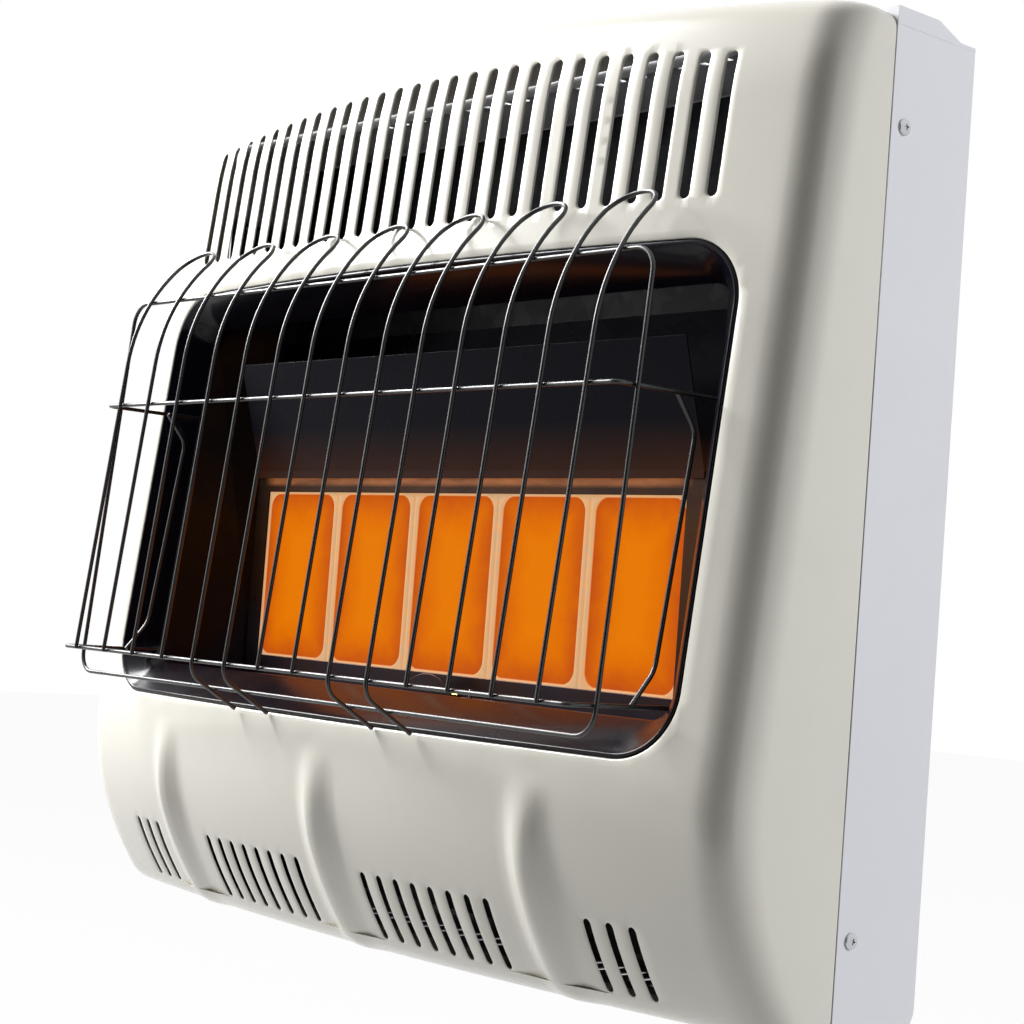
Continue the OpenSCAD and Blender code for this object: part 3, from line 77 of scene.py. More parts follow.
class Link:
    # an output socket that can stand in an expression
    def __init__(self, shader, socket):
        self.shader, self.socket = shader, socket

    def math(self, operation, *values):
        return self.shader.node("ShaderNodeMath", {"operation": operation}, dict(enumerate(values)))

    def __add__(self, b): return self.math("ADD", self, b)
    def __radd__(self, b): return self.math("ADD", b, self)
    def __sub__(self, b): return self.math("SUBTRACT", self, b)
    def __rsub__(self, b): return self.math("SUBTRACT", b, self)
    def __mul__(self, b): return self.math("MULTIPLY", self, b)
    def __rmul__(self, b): return self.math("MULTIPLY", b, self)
    def __abs__(self): return self.math("ABSOLUTE", self)
    def sine(self): return self.math("SINE", self)


class Shader:
    def __init__(self, name):
        self.material = bpy.data.materials.new(name)
        self.material.use_nodes = True
        self.tree = self.material.node_tree
        self.tree.nodes.clear()
        self.place = self.node("ShaderNodeTexCoord", {}, {}, "Object")

    def node(self, kind, settings, values, output=0):
        made = self.tree.nodes.new(kind)
        for key, value in settings.items():
            if key == "stops":
                ramp = made.color_ramp
                while len(ramp.elements) < len(value):
                    ramp.elements.new(0.5)
                for element, (at, colour) in zip(ramp.elements, value):
                    element.position, element.color = at, colour
            else:
                setattr(made, key, value)
        for key, value in values.items():
            if isinstance(value, Link):
                self.tree.links.new(value.socket, made.inputs[key])
            else:
                made.inputs[key].default_value = value
        return Link(self, made.outputs[output]) if len(made.outputs) else None

    def stretched(self, x, y, z):
        return self.node("ShaderNodeMapping", {}, {"Vector": self.place, "Scale": (x, y, z)})

    def noise(self, scale, detail=2.0, rough=0.5, at=None):
        return self.node("ShaderNodeTexNoise", {}, {"Vector": at or self.place, "Scale": scale,
                                                    "Detail": detail, "Roughness": rough}, "Fac")

    def flakes(self, scale):
        # one random grey for each flake
        cell = self.node("ShaderNodeTexVoronoi", {}, {"Vector": self.place, "Scale": scale}, "Color")
        return self.node("ShaderNodeRGBToBW", {}, {0: cell})

    def axis(self, name):
        return self.node("ShaderNodeSeparateXYZ", {}, {0: self.place}, name)

    def attribute(self, name):
        return self.node("ShaderNodeAttribute", {"attribute_name": name}, {}, "Fac")

    def span(self, value, low, high, toLow=0.0, toHigh=1.0):
        return self.node("ShaderNodeMapRange", {"clamp": True}, {"Value": value, "From Min": low,
                         "From Max": high, "To Min": toLow, "To Max": toHigh})

    def rise(self, value, edges):
        return self.span(value, *edges)

    def fall(self, value, edges):
        return self.span(value, *edges, 1.0, 0.0)

    def ramp(self, value, stops):
        return self.node("ShaderNodeValToRGB", {"stops": stops}, {"Fac": value}, "Color")

    def blend(self, factor, first, second, mode="MIX"):
        return self.node("ShaderNodeMix", {"data_type": "RGBA", "blend_type": mode},
                         {0: factor, 6: first, 7: second}, 2)

    def surface(self, base, roughness, metallic=0.0, coat=0.0, coatRough=0.1, height=None, depth=0.0001,
                strength=0.5, glow=None, glowStrength=0.0, specular=0.5):
        values = {"Base Color": base, "Roughness": roughness, "Metallic": metallic, "Coat Weight": coat,
                  "Coat Roughness": coatRough, "Specular IOR Level": specular}
        if height is not None:
            values["Normal"] = self.node("ShaderNodeBump", {}, {"Height": height, "Strength": strength,
                                                                "Distance": depth})
        if glow is not None:
            values["Emission Color"] = glow
            values["Emission Strength"] = glowStrength
        shader = self.node("ShaderNodeBsdfPrincipled", {}, values)
        self.node("ShaderNodeOutputMaterial", {}, {"Surface": shader})
        return self.material


# where and how strongly the inside of the case gets painted shade; bounds are in metres, on the axes of the
# imported part
caseShade = {"sides": (0.3442, 0.3446), "floor": (-0.4996, -0.4992), "crown": (0.04, 0.05),
        "back": (-0.0021, -0.0015), "onPaint": 0.94, "onZinc": 0.93}


def insideCase(s):
    # 1 on the inner faces of the case, 0 on its outer ones
    sides, back = s.fall(abs(s.axis("X")), caseShade["sides"]), s.fall(s.axis("Y"), caseShade["back"])
    return sides * back * s.rise(s.axis("Z"), caseShade["floor"]) * s.fall(s.axis("Z"), caseShade["crown"])


def paint(name, base, shade, peel, rough, coat, sooted=False):
    s = Shader(name)
    cloud = s.span(s.noise(5.0, 2.0), 0.3, 0.7)
    fleck = s.noise(2200.0, 1.0)
    dust = s.span(s.noise(30.0, 5.0, 0.6), 0.5, 0.85, 0.0, 0.5)
    colour = s.blend(cloud * 0.3 + fleck * 0.1 + dust * 0.3, base, shade)
    roughness = rough + s.noise(18.0, 3.0) * 0.05 + dust * 0.06
    if sooted:
        # inside the case the paint is darkened to a painted shade, and its coat is taken away
        dark = insideCase(s)
        colour = s.blend(dark * caseShade["onPaint"], colour, linear(34, 32, 32))
        coat = coat - dark * coat
    height = s.noise(peel, 2.0) + s.noise(peel * 4.0, 1.0) * 0.25
    return s.surface(colour, roughness, 0.0, coat, 0.08, height, 0.00012, 0.16)


enamelLook = {"warmed": (-0.31, -0.17), "behindWindow": (-0.135, -0.128), "lowest": (-0.19, -0.14),
              "shine": linear(66, 34, 4)}


def enamel(name, base, warm, rough):
    s = Shader(name)
    # the enamel round and below the plaques is tinted warm in patches, painted light from their glow
    plaqueWarmth = s.fall(s.axis("Z"), enamelLook["warmed"]) * s.span(s.noise(14.0, 4.0), 0.35, 0.75)
    colour = s.blend(plaqueWarmth * 0.5, base, warm)
    colour = s.blend(s.span(s.noise(420.0, 2.0), 0.62, 0.75, 0.0, 0.2), colour, linear(40, 40, 54))
    roughness = rough + s.noise(24.0, 4.0) * 0.16
    # what lies behind the window is lit from below by the plaques
    behind = s.rise(s.axis("Y"), enamelLook["behindWindow"])
    lit = behind * s.fall(s.axis("Z"), enamelLook["lowest"]) * (0.6 + s.noise(20.0, 3.0) * 0.4)
    shine = s.blend(lit, (0, 0, 0, 1), enamelLook["shine"])
    return s.surface(colour, roughness, 0.0, 0.3 - behind * 0.3, 0.15, s.noise(520.0, 2.0), 0.00008, 0.12,
                     shine, 1.0, 0.06)


def wireCoat(name):
    s = Shader(name)
    worn = s.span(s.noise(160.0, 4.0, 0.65), 0.62, 0.72)
    colour = s.blend(worn * 0.35, linear(17, 17, 20), linear(64, 62, 60))
    roughness = 0.30 + s.noise(300.0, 3.0) * 0.18
    return s.surface(colour, roughness, 0.0, 0.3, 0.15, s.noise(900.0, 2.0), 0.0001, 0.25)


def zincSheet(name, base, shade):
    s = Shader(name)
    grey = s.flakes(95.0)
    colour = s.blend(s.span(grey, 0.2, 0.8), base, shade)
    streak = s.noise(9.0, 3.0, 0.5, s.stretched(1.0, 1.0, 14.0))
    colour = s.blend(s.span(streak, 0.4, 0.75, 0.0, 0.35), colour, shade)
    # every face but the outer one of the back is darkened with painted shade, like the inside of the case
    dark = s.fall(s.axis("Y"), caseShade["back"])
    colour = s.blend(dark * caseShade["onZinc"], colour, linear(24, 22, 26))
    roughness = 0.32 + grey * 0.16 + dark * 0.3
    height = grey * 0.6 + s.noise(700.0, 1.0) * 0.4
    return s.surface(colour, roughness, 1.0 - dark * 0.5, 0.0, 0.1, height, 0.00004, 0.2)


steelLook = {"hottest": (-0.34, -0.15), "railLow": (-0.183, -0.180), "railHigh": (-0.173, -0.170),
             "railFront": (-0.103, -0.102), "railBack": (-0.0985, -0.0975), "railEnds": (0.216, 0.230),
             "mirrored": linear(150, 90, 50)}


def temperedSteel(name):
    # straw, bronze and blue heat tints, strongest close to the plaques
    s = Shader(name)
    drift = s.noise(16.0, 4.0, 0.6) * 0.5 + s.fall(s.axis("Z"), steelLook["hottest"]) * 0.5
    colour = s.ramp(drift, [(0.18, linear(34, 28, 28)), (0.42, linear(62, 38, 22)),
                            (0.58, linear(54, 31, 18)), (0.74, linear(42, 34, 40)),
                            (0.9, linear(26, 23, 26))])
    brushed = s.noise(260.0, 3.0, 0.6, s.stretched(0.06, 1.0, 1.0))
    # the rail above the plaques mirrors their glow
    rail = s.rise(s.axis("Z"), steelLook["railLow"]) * s.fall(s.axis("Z"), steelLook["railHigh"])
    front = s.fall(s.axis("Y"), steelLook["railBack"]) * s.rise(s.axis("Y"), steelLook["railFront"])
    ends = s.fall(abs(s.axis("X")), steelLook["railEnds"])
    streak = s.span(s.noise(30.0, 3.0, 0.6, s.stretched(1.0, 1.0, 4.0)), 0.3, 0.7, 0.35, 1.0)
    mirrored = s.blend(rail * front * ends * streak, (0, 0, 0, 1), steelLook["mirrored"])
    return s.surface(colour, 0.30 + brushed * 0.18, 1.0, 0.0, 0.1, brushed, 0.00006, 0.22, mirrored, 1.0)


def castMetal(name, base, shade, rough=0.42):
    s = Shader(name)
    grain = s.noise(850.0, 3.0, 0.6)
    colour = s.blend(s.span(s.noise(40.0, 3.0), 0.3, 0.75), base, shade)
    return s.surface(colour, rough + grain * 0.15, 1.0, 0.0, 0.1, grain, 0.00012, 0.35)


def turnedMetal(name, base, shade, rough=0.2):
    s = Shader(name)
    lines = s.noise(900.0, 2.0, 0.5, s.stretched(0.15, 0.15, 1.0))
    colour = s.blend(s.span(s.noise(70.0, 4.0), 0.35, 0.8, 0.0, 0.7), base, shade)
    return s.surface(colour, rough + lines * 0.14, 1.0, 0.0, 0.1, lines, 0.00003, 0.25)


def moulded(name, base, shade, rough, grainSize=1400.0):
    s = Shader(name)
    grain = s.noise(grainSize, 2.0, 0.6)
    colour = s.blend(s.span(s.noise(90.0, 3.0), 0.35, 0.7, 0.0, 0.6), base, shade)
    return s.surface(colour, rough + grain * 0.12, 0.0, 0.08, 0.2, grain, 0.00008, 0.3)


def fibreBoard(name):
    s = Shader(name)
    strand = s.noise(600.0, 5.0, 0.7, s.stretched(1.0, 1.0, 0.25))
    colour = s.blend(s.span(strand, 0.35, 0.7), linear(232, 224, 208), linear(196, 184, 162))
    return s.surface(colour, 0.9, 0.0, 0.0, 0.1, strand, 0.0003, 0.6)


plaqueLook = {"holePitch": 0.0025, "holeDark": 0.75, "glow": 1.0}


def glowingCeramic(name):
    # "lit" is 0 on the pale rim and 1 in the glowing field, "heart" falls from the middle outwards
    s = Shader(name)
    lit, heart = s.attribute("lit"), s.attribute("heart")
    turn = 2 * math.pi / plaqueLook["holePitch"]
    across, along = s.axis("X") * turn, s.axis("Z") * turn
    rows = across.sine() * along.sine()
    offset = (across + math.pi / 2).sine() * (along + math.pi / 2).sine()
    holes = s.span(rows * rows + offset * offset, 0.55, 0.95)
    patch = s.noise(55.0, 3.0, 0.6)
    field = s.ramp(heart * 0.8 + patch * 0.4,
                   [(0.06, linear(184, 70, 24)), (0.32, linear(210, 96, 12)), (0.6, linear(230, 116, 0)),
                    (0.95, linear(238, 128, 0))])
    field = s.blend(holes * plaqueLook["holeDark"], field, linear(172, 62, 8))
    middle = s.span(heart + s.noise(6.0, 1.0) * 0.02, 0.0, 0.02)
    rim = s.blend(patch, linear(255, 196, 134), linear(240, 172, 112))
    edgeGlow = s.blend(s.span(s.noise(230.0, 3.0), 0.35, 0.7) * (1.0 - middle), rim, linear(206, 186, 160))
    glow = s.blend(s.span(lit, 0.25, 0.85), edgeGlow, field)
    base = s.blend(lit, linear(120, 96, 72), linear(24, 8, 2))
    glowing = s.blend(s.span(lit, 0.0, 0.6, 0.3, 0.0), glow, linear(20, 9, 4))
    height = s.noise(900.0, 3.0) * 0.5 - holes * lit
    return s.surface(base, 0.9, 0.0, 0.0, 0.1, height, 0.0004, 0.5, glowing, plaqueLook["glow"], 0.02)


looks = {
    "cream_paint": paint("creamPaint", linear(227, 224, 213), linear(213, 209, 197), 620.0, 0.22, 0.35),
    "case_paint": paint("casePaint", linear(230, 231, 235), linear(219, 220, 226), 620.0, 0.30, 0.25, True),
    "black_enamel": enamel("blackEnamel", linear(9, 9, 20), linear(46, 22, 6), 0.2),
    "guard_black": wireCoat("guardCoat"),
    "galvanised": zincSheet("galvanisedSheet", linear(176, 180, 184), linear(150, 155, 161)),
    "heat_steel": temperedSteel("heatTintedSteel"),
    "glow_ceramic": glowingCeramic("glowingPlaque"),
    "fibre": fibreBoard("gasketFibre"),
    "brass": turnedMetal("machinedBrass", linear(206, 170, 98), linear(170, 132, 66)),
    "zinc_cast": castMetal("dieCastZinc", linear(178, 180, 184), linear(150, 152, 157)),
    "steel": turnedMetal("platedSteel", linear(196, 198, 202), linear(160, 162, 168), 0.18),
    "tube_metal": turnedMetal("drawnTube", linear(190, 192, 196), linear(162, 164, 170), 0.24),
    "black_plastic": moulded("blackPlastic", linear(26, 26, 28), linear(38, 38, 41), 0.34),
    "red_plastic": moulded("redPlastic", linear(176, 26, 20), linear(148, 18, 15), 0.2),
    "white_ceramic": moulded("glazedCeramic", linear(232, 228, 216), linear(206, 200, 184), 0.12, 500.0),
    "copper": turnedMetal("brightCopper", linear(196, 122, 84), linear(150, 82, 54)),
    "lead_rubber": moulded("leadRubber", linear(30, 28, 30), linear(46, 44, 46), 0.5),
}
nodeSlot = {part["node"]: part["material_slot"] for part in frame["record"]["subparts"]}
print("materials:", len(looks))


def placed(name, data):
    made = bpy.data.objects.new(name, data)
    bpy.context.scene.collection.objects.link(made)
    return made


def meshObject(name, points, faces, material, edges=()):
    mesh = bpy.data.meshes.new(name)
    mesh.from_pydata([tuple(p) for p in points], list(edges), [tuple(f) for f in faces])
    mesh.validate()
    mesh.materials.append(material)
    return placed(name, mesh)


@contextmanager
def editing(mesh):
    # a mesh opened for bmesh work and written back after it
    shape = bmesh.new()
    shape.from_mesh(mesh)
    yield shape
    shape.to_mesh(mesh)
    shape.free()


def bake(made):
    # the evaluated result becomes the piece's own plain mesh
    plain = bpy.data.meshes.new_from_object(made.evaluated_get(bpy.context.evaluated_depsgraph_get()))
    made.modifiers.clear()
    made.data = plain
    return made


def shadeByAngle(mesh, degrees):
    mesh.shade_smooth()
    mesh.set_sharp_from_angle(angle=math.radians(degrees))


def dress(mesh, slot, sharp):
    mesh.materials.clear()
    mesh.materials.append(looks[slot])
    mesh.polygons.foreach_set("material_index", [0] * len(mesh.polygons))
    shadeByAngle(mesh, sharp)


def orient(made):
    with editing(made.data) as shape:
        bmesh.ops.remove_doubles(shape, verts=shape.verts, dist=1e-6)
        bmesh.ops.recalc_face_normals(shape, faces=shape.faces)


def sheetWall(made, thickness, sharp):
    # the outer face looks forwards, and the sheet's thickness lies behind it
    with editing(made.data) as shape:
        bmesh.ops.recalc_face_normals(shape, faces=shape.faces)
        widest = max(shape.faces, key=lambda f: f.calc_area())
        if widest.normal.y > 0:
            bmesh.ops.reverse_faces(shape, faces=shape.faces)
    wall = made.modifiers.new("sheet", "SOLIDIFY")
    wall.thickness, wall.offset = thickness * mm, -1.0
    bake(made)
    shadeByAngle(made.data, sharp)


def handOver(made, body, *nodes):
    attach(made, body)
    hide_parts(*nodes)


def gridFaces(rows, columns, closed=False):
    last = columns if closed else columns - 1
    return [(r * columns + c, r * columns + (c + 1) % columns, (r + 1) * columns + (c + 1) % columns,
             (r + 1) * columns + c) for r in range(rows - 1) for c in range(last)]


def newTree(name, inputs):
    tree = bpy.data.node_groups.new(name, "GeometryNodeTree")
    sockets = {}
    for label, kind in [("Geometry", "Geometry")] + inputs:
        socket = tree.interface.new_socket(name=label, in_out="INPUT", socket_type="NodeSocket" + kind)
        sockets[label] = socket.identifier
    tree.interface.new_socket(name="Geometry", in_out="OUTPUT", socket_type="NodeSocketGeometry")
    return tree, sockets


def addNode(tree, kind, values=None, **settings):
    # values are numbers, sockets, or nodes whose first output is meant
    made = tree.nodes.new(kind)
    for key, value in settings.items():
        setattr(made, key, value)
    for key, value in (values or {}).items():
        if isinstance(value, bpy.types.Node):
            value = value.outputs[0]
        if isinstance(value, bpy.types.NodeSocket):
            tree.links.new(value, made.inputs[key])
        else:
            made.inputs[key].default_value = value
    return made


def endTree(tree, copies, material):
    # instances become real geometry with a material, because the export drops instances
    real = addNode(tree, "GeometryNodeRealizeInstances", {"Geometry": copies})
    coloured = addNode(tree, "GeometryNodeSetMaterial", {"Geometry": real, "Material": material})
    addNode(tree, "NodeGroupOutput", {"Geometry": coloured})


def applyTree(made, tree, settings):
    tree, sockets = tree
    modifier = made.modifiers.new(tree.name, "NODES")
    modifier.node_group = tree
    for label, value in settings.items():
        modifier[sockets[label]] = value
    return bake(made)


def repeatTree(name, asWire):
    # a bent wire or any given shape, repeated in a row along X about the middle
    row = [("Count", "Int"), ("Pitch", "Float"), ("Sides", "Int"), ("Wire Radius", "Float")]
    tree, sockets = newTree(name, row + [("Material", "Material")])
    source = addNode(tree, "NodeGroupInput").outputs
    shape = source["Geometry"]
    if asWire:
        curve = addNode(tree, "GeometryNodeMeshToCurve", {"Mesh": shape})
        ring = addNode(tree, "GeometryNodeCurvePrimitiveCircle",
                       {"Resolution": source["Sides"], "Radius": source["Wire Radius"]}, mode="RADIUS")
        tube = addNode(tree, "GeometryNodeCurveToMesh",
                       {"Curve": curve, "Profile Curve": ring, "Fill Caps": True})
        shape = addNode(tree, "GeometryNodeSetShadeSmooth", {"Geometry": tube, "Shade Smooth": True})
    less = addNode(tree, "ShaderNodeMath", {0: source["Count"], 1: 1.0}, operation="SUBTRACT")
    half = addNode(tree, "ShaderNodeMath", {0: less, 1: -0.5}, operation="MULTIPLY")
    start = addNode(tree, "ShaderNodeMath", {0: half, 1: source["Pitch"]}, operation="MULTIPLY")
    first = addNode(tree, "ShaderNodeCombineXYZ", {"X": start})
    step = addNode(tree, "ShaderNodeCombineXYZ", {"X": source["Pitch"]})
    line = addNode(tree, "GeometryNodeMeshLine",
                   {"Count": source["Count"], "Start Location": first, "Offset": step}, mode="OFFSET")
    copies = addNode(tree, "GeometryNodeInstanceOnPoints", {"Points": line, "Instance": shape})
    endTree(tree, copies, source["Material"])
    return tree, sockets


def scatterTree(name):
    # one shape on every point of a cloud, turned by each point's own "turn" attribute
    tree, sockets = newTree(name, [("Shape", "Object"), ("Material", "Material")])
    source = addNode(tree, "NodeGroupInput").outputs
    shape = addNode(tree, "GeometryNodeObjectInfo", {"Object": source["Shape"]}, transform_space="ORIGINAL")
    turn = addNode(tree, "GeometryNodeInputNamedAttribute", {"Name": "turn"}, data_type="FLOAT_VECTOR")
    euler = addNode(tree, "FunctionNodeEulerToRotation", {0: turn})
    copies = addNode(tree, "GeometryNodeInstanceOnPoints",
                     {"Points": source["Geometry"], "Instance": shape.outputs["Geometry"], "Rotation": euler})
    endTree(tree, copies, source["Material"])
    return tree, sockets


wireTree = repeatTree("bentWireRow", True)
rowTree = repeatTree("shapeRow", False)
spreadTree = scatterTree("shapeOnPoints")

grille = {"topCount": 28, "topPitch": 20.0, "topWidth": 7.5, "topLow": 487.0, "topLength": 88.6,
          "topArch": 17.0, "lowPitch": 16.6, "lowWidth": 5.5, "low": 13.0, "high": 57.0, "innerStart": 37.0,
          "innerCount": 8, "outerStart": 234.5, "outerCount": 3}
# the edge of each opening is rolled in: (distance from the opening, depth)
rolled = {"slots": ((0.0, 1.0), (0.39, 0.35), (1.3, 0.0)), "windowShare": 1.4, "slotClear": 2.5,
          "windowClear": 2.9}
bowAngle = math.atan(2 * face["bow"] / (heater["width"] / 2 - face["corner"]))
bowEnd = heater["width"] / 2 - face["corner"] * (1 - math.sin(bowAngle))
archStart = grille["topLow"] - face["edge"]
ribs = {"places": (-198.0, 0.0, 198.0), "halfWidth": 20.0, "out": 9.0, "tip": 136.0, "peakShare": 0.55,
        "lowShare": 0.55}


def edgeDepth(v):
    below = np.maximum(0, face["bellyHeight"] - v)
    above = np.maximum(0, v - face["rollHeight"])
    return (-face["bellyDepth"] + face["lean"] * (v - face["bellyHeight"])
            + face["bellyTuck"] * (below / face["bellyHeight"]) ** 2
            + face["topTuck"] * (above / (face["top"] - face["edge"] - face["rollHeight"])) ** 2)


def ribHeight(x, v):
    across = sum(np.where(np.abs(x - p) < ribs["halfWidth"],
                          (1 + np.cos(np.pi * np.clip(np.abs(x - p) / ribs["halfWidth"], 0, 1))) / 2, 0)
                 for p in ribs["places"])
    s = v / ribs["tip"]
    rise = np.sin(np.pi / 2 * np.clip((1 - s) / (1 - ribs["peakShare"]), 0, 1))
    low = ribs["lowShare"] + (1 - ribs["lowShare"]) * s / ribs["peakShare"]
    along = np.where(s > ribs["peakShare"], rise, low)
    return ribs["out"] * across * along


def faceDepth(x, v):
    return (edgeDepth(v) + face["corner"] * (1 - math.cos(bowAngle)) - face["bow"] * (1 - (x / bowEnd) ** 2)
            - ribHeight(x, v))


def archAt(x):
    return face["arch"] * (1 - (x / (heater["width"] / 2)) ** 2)


def archShare(v):
    return np.clip((v - archStart) / (face["top"] - face["edge"] - archStart), 0, 1)


def facePoint(x, v):
    return np.stack([x, faceDepth(x, v), v + archShare(v) * archAt(x)], -1)


def heightToLevel(x, z):
    # the level on the panel at which a point of real height z lies
    reach = face["top"] - face["edge"] - archStart
    level = (z + archAt(x) / reach * archStart) / (1 + archAt(x) / reach)
    return np.where(z > archStart, level, z)


def slotList():
    slots = []
    for i in range(grille["topCount"]):
        x = (i - (grille["topCount"] - 1) / 2) * grille["topPitch"]
        rise = grille["topArch"] * (1 - (x / (grille["topCount"] / 2 * grille["topPitch"])) ** 2)
        slots.append((x, grille["topLow"], grille["topLow"] + grille["topLength"] + rise, grille["topWidth"]))
    starts = [grille["innerStart"] + i * grille["lowPitch"] for i in range(grille["innerCount"])]
    starts += [grille["outerStart"] + i * grille["lowPitch"] for i in range(grille["outerCount"])]
    for x in starts:
        slots += [(side * x, grille["low"], grille["high"], grille["lowWidth"]) for side in (-1, 1)]
    return slots


def slotLoop(slot, grow, steps=7):
    # a slot's outline at a distance, with points along its straight sides as well
    x, low, high, width = slot
    r, reach = width / 2, width / 2 + grow
    lower, upper = ([(x + reach * math.cos(a), z + reach * math.sin(a))
                     for a in start + np.linspace(0, math.pi, 9)]
                    for start, z in ((math.pi, low + r), (0.0, high - r)))
    heights = np.linspace(low + r, high - r, steps + 1)[1:-1]
    right, left = [(x + reach, z) for z in heights], [(x - reach, z) for z in heights[::-1]]
    return np.array(lower + right + upper + left)


def windowLoop(grow):
    halfW, halfH, r = window["width"] / 2 + grow, window["height"] / 2 + grow, window["corner"] + grow
    middle = window["low"] + window["height"] / 2
    corners = []
    for cx, cz, start in ((1, 1, 0.0), (-1, 1, 0.5), (-1, -1, 1.0), (1, -1, 1.5)):
        for a in math.pi * (start + np.linspace(0, 0.5, window["cornerSteps"] + 1)):
            corners.append((cx * (halfW - r) + r * math.cos(a), middle + cz * (halfH - r) + r * math.sin(a)))
    corners = np.array(corners)
    loop = []
    for p, q in zip(corners, np.roll(corners, -1, axis=0)):
        loop.append(p)
        gap = np.linalg.norm(q - p)
        if gap > 2 * window["sideStep"]:
            count = round(gap / window["sideStep"])
            loop += [p + (q - p) * k / count for k in range(1, count)]
    return np.array(loop)


def roundedDistance(x, z, halfWidth, halfHeight, corner):
    # how far points lie outside a rounded rectangle about the origin, negative inside it
    dx, dz = np.abs(x) - (halfWidth - corner), np.abs(z) - (halfHeight - corner)
    return np.hypot(np.maximum(dx, 0), np.maximum(dz, 0)) + np.minimum(np.maximum(dx, dz), 0) - corner


def onSheet(flat, slotClear, windowClear):
    # True for the points of the panel that keep these distances from its openings
    x, v = flat[:, 0], flat[:, 1]
    z = v + archShare(v) * archAt(x)
    halfW, halfH = window["width"] / 2, window["height"] / 2
    keep = roundedDistance(x, v - window["low"] - halfH, halfW, halfH, window["corner"]) > windowClear
    for middle, low, high, width in slotList():
        r = width / 2
        keep &= np.hypot(x - middle, z - np.clip(z, low + r, high - r)) > r + slotClear
    return keep


def panelRing(xs, v, inset, lift):
    # one level of the panel all the way round, from seam to seam
    half, depth = heater["width"] / 2, heater["caseDepth"]
    r, centre = face["corner"] - inset, edgeDepth(np.array(v)) + face["corner"]
    turn = [(half - face["corner"] + r * math.cos(a), centre - r * math.sin(a))
            for a in np.linspace(0, math.pi / 2 - bowAngle, 9)[:-1]]
    ring = [(half - inset, -depth)] + turn + [(x, faceDepth(x, np.array(v)) + inset) for x in xs[::-1]]
    ring += [(-x, y) for x, y in turn[::-1]] + [(-half + inset, -depth)]
    return [(x, y, v + (lift * archAt(x) if y < -depth - 1e-6 else 0.0)) for x, y in ring]


def pressedFace(xs, vs):
    # the perforated front between its bends, triangulated around the rolled edges of the openings
    loops = []
    for slot in slotList():
        for grow, sink in rolled["slots"]:
            x, z = slotLoop(slot, grow).T
            loops.append((np.stack([x, heightToLevel(x, z)], 1), sink))
    loops += [(windowLoop(grow), sink * rolled["windowShare"]) for grow, sink in rolled["slots"]]
    grid = np.stack(np.meshgrid(xs, vs), -1).reshape(-1, 2)
    x, v = grid.T
    onBorder = (np.abs(x) > bowEnd - 1e-6) | (v < vs[0] + 1e-6) | (v > vs[-1] - 1e-6)
    flat = [grid[onBorder | onSheet(grid, rolled["slotClear"], rolled["windowClear"])]]
    sinks, edges, base = [np.zeros(len(flat[0]))], [], len(flat[0])
    for loop, sink in loops:
        n = len(loop)
        flat.append(loop)
        sinks.append(np.full(n, sink))
        edges += [(base + k, base + (k + 1) % n) for k in range(n)]
        base += n
    flat, sinks = np.concatenate(flat), np.concatenate(sinks)
    verts, _, tris, origin, _, _ = delaunay_2d_cdt([Vector(p) for p in flat], edges, [], 0, 1e-5)
    verts, tris = np.array([tuple(v) for v in verts]), np.array(tris)
    points = facePoint(verts[:, 0], verts[:, 1])
    points[:, 1] += [sinks[o[0]] if o else 0.0 for o in origin]
    return points, tris[onSheet(verts[tris].mean(1), -0.02, -0.02)]


def frontPanel():
    xs = np.linspace(-bowEnd, bowEnd, face["columns"])
    vs = np.linspace(face["edge"], face["top"] - face["edge"], face["rows"])
    patches = [pressedFace(xs, vs)]
    rings = [panelRing(xs, v, 0.0, float(archShare(v))) for v in vs]
    for ends in (slice(0, 10), slice(-10, None)):
        patches.append((np.array([ring[ends] for ring in rings]).reshape(-1, 3), gridFaces(len(vs), 10)))
    # the turned-in lower and upper edges, each closed by a flat flange
    for lower in (True, False):
        rings = []
        for a in np.linspace(0, math.pi / 2, 7)[::-1 if lower else 1]:
            drop = face["edge"] * (1 - math.sin(a))
            v = drop if lower else face["top"] - drop
            rings.append(panelRing(xs, v, face["edge"] * (1 - math.cos(a)), 0.0 if lower else 1.0))
        level = 0.0 if lower else face["top"]
        flange = [(x, -heater["caseDepth"], level) for x, _, _ in rings[0 if lower else -1]]
        rings = [flange] + rings if lower else rings + [flange]
        patches.append((np.array(rings).reshape(-1, 3), gridFaces(len(rings), len(flange))))
    faces, base = [], 0
    for points, patchFaces in patches:
        faces += [tuple(base + k for k in f) for f in patchFaces]
        base += len(points)
    points = toFrame(np.concatenate([points for points, _ in patches]))
    made = meshObject("frontPanel", points, faces, looks["cream_paint"])
    with editing(made.data) as shape:
        bmesh.ops.remove_doubles(shape, verts=shape.verts, dist=2e-5)
        bmesh.ops.dissolve_degenerate(shape, edges=shape.edges, dist=1e-6)
    sheetWall(made, heater["sheet"], 40)
    handOver(made, "heater", "front_panel")


frontPanel()
print("front panel pressed and slotted")

surround = {"gap": 0.9, "flange": 7.0, "flangeDepth": 1.9, "band": 22.0, "depth": 20.0, "lip": 2.2,
            "lipDepth": 0.5, "crown": 1.8, "sheet": 0.9, "turnedBack": ((0.5, 1.0), (0.7, 3.0))}


def panelDepth(x, z):
    return float(faceDepth(np.array(float(x)), np.array(float(z))))


def surroundLoop(inset, behind):
    # a rounded loop inside the window's edge, a distance behind the panel's face
    flat = windowLoop(-inset)
    return np.stack([flat[:, 0], faceDepth(flat[:, 0], flat[:, 1]) + behind, flat[:, 1]], 1)


def surroundDepth(z):
    # how far in front of the wall the band's inner edge lies at a height
    lowest = panelDepth(window["width"] / 2, window["low"]) + surround["depth"]
    return lowest + face["lean"] * (z - window["low"])


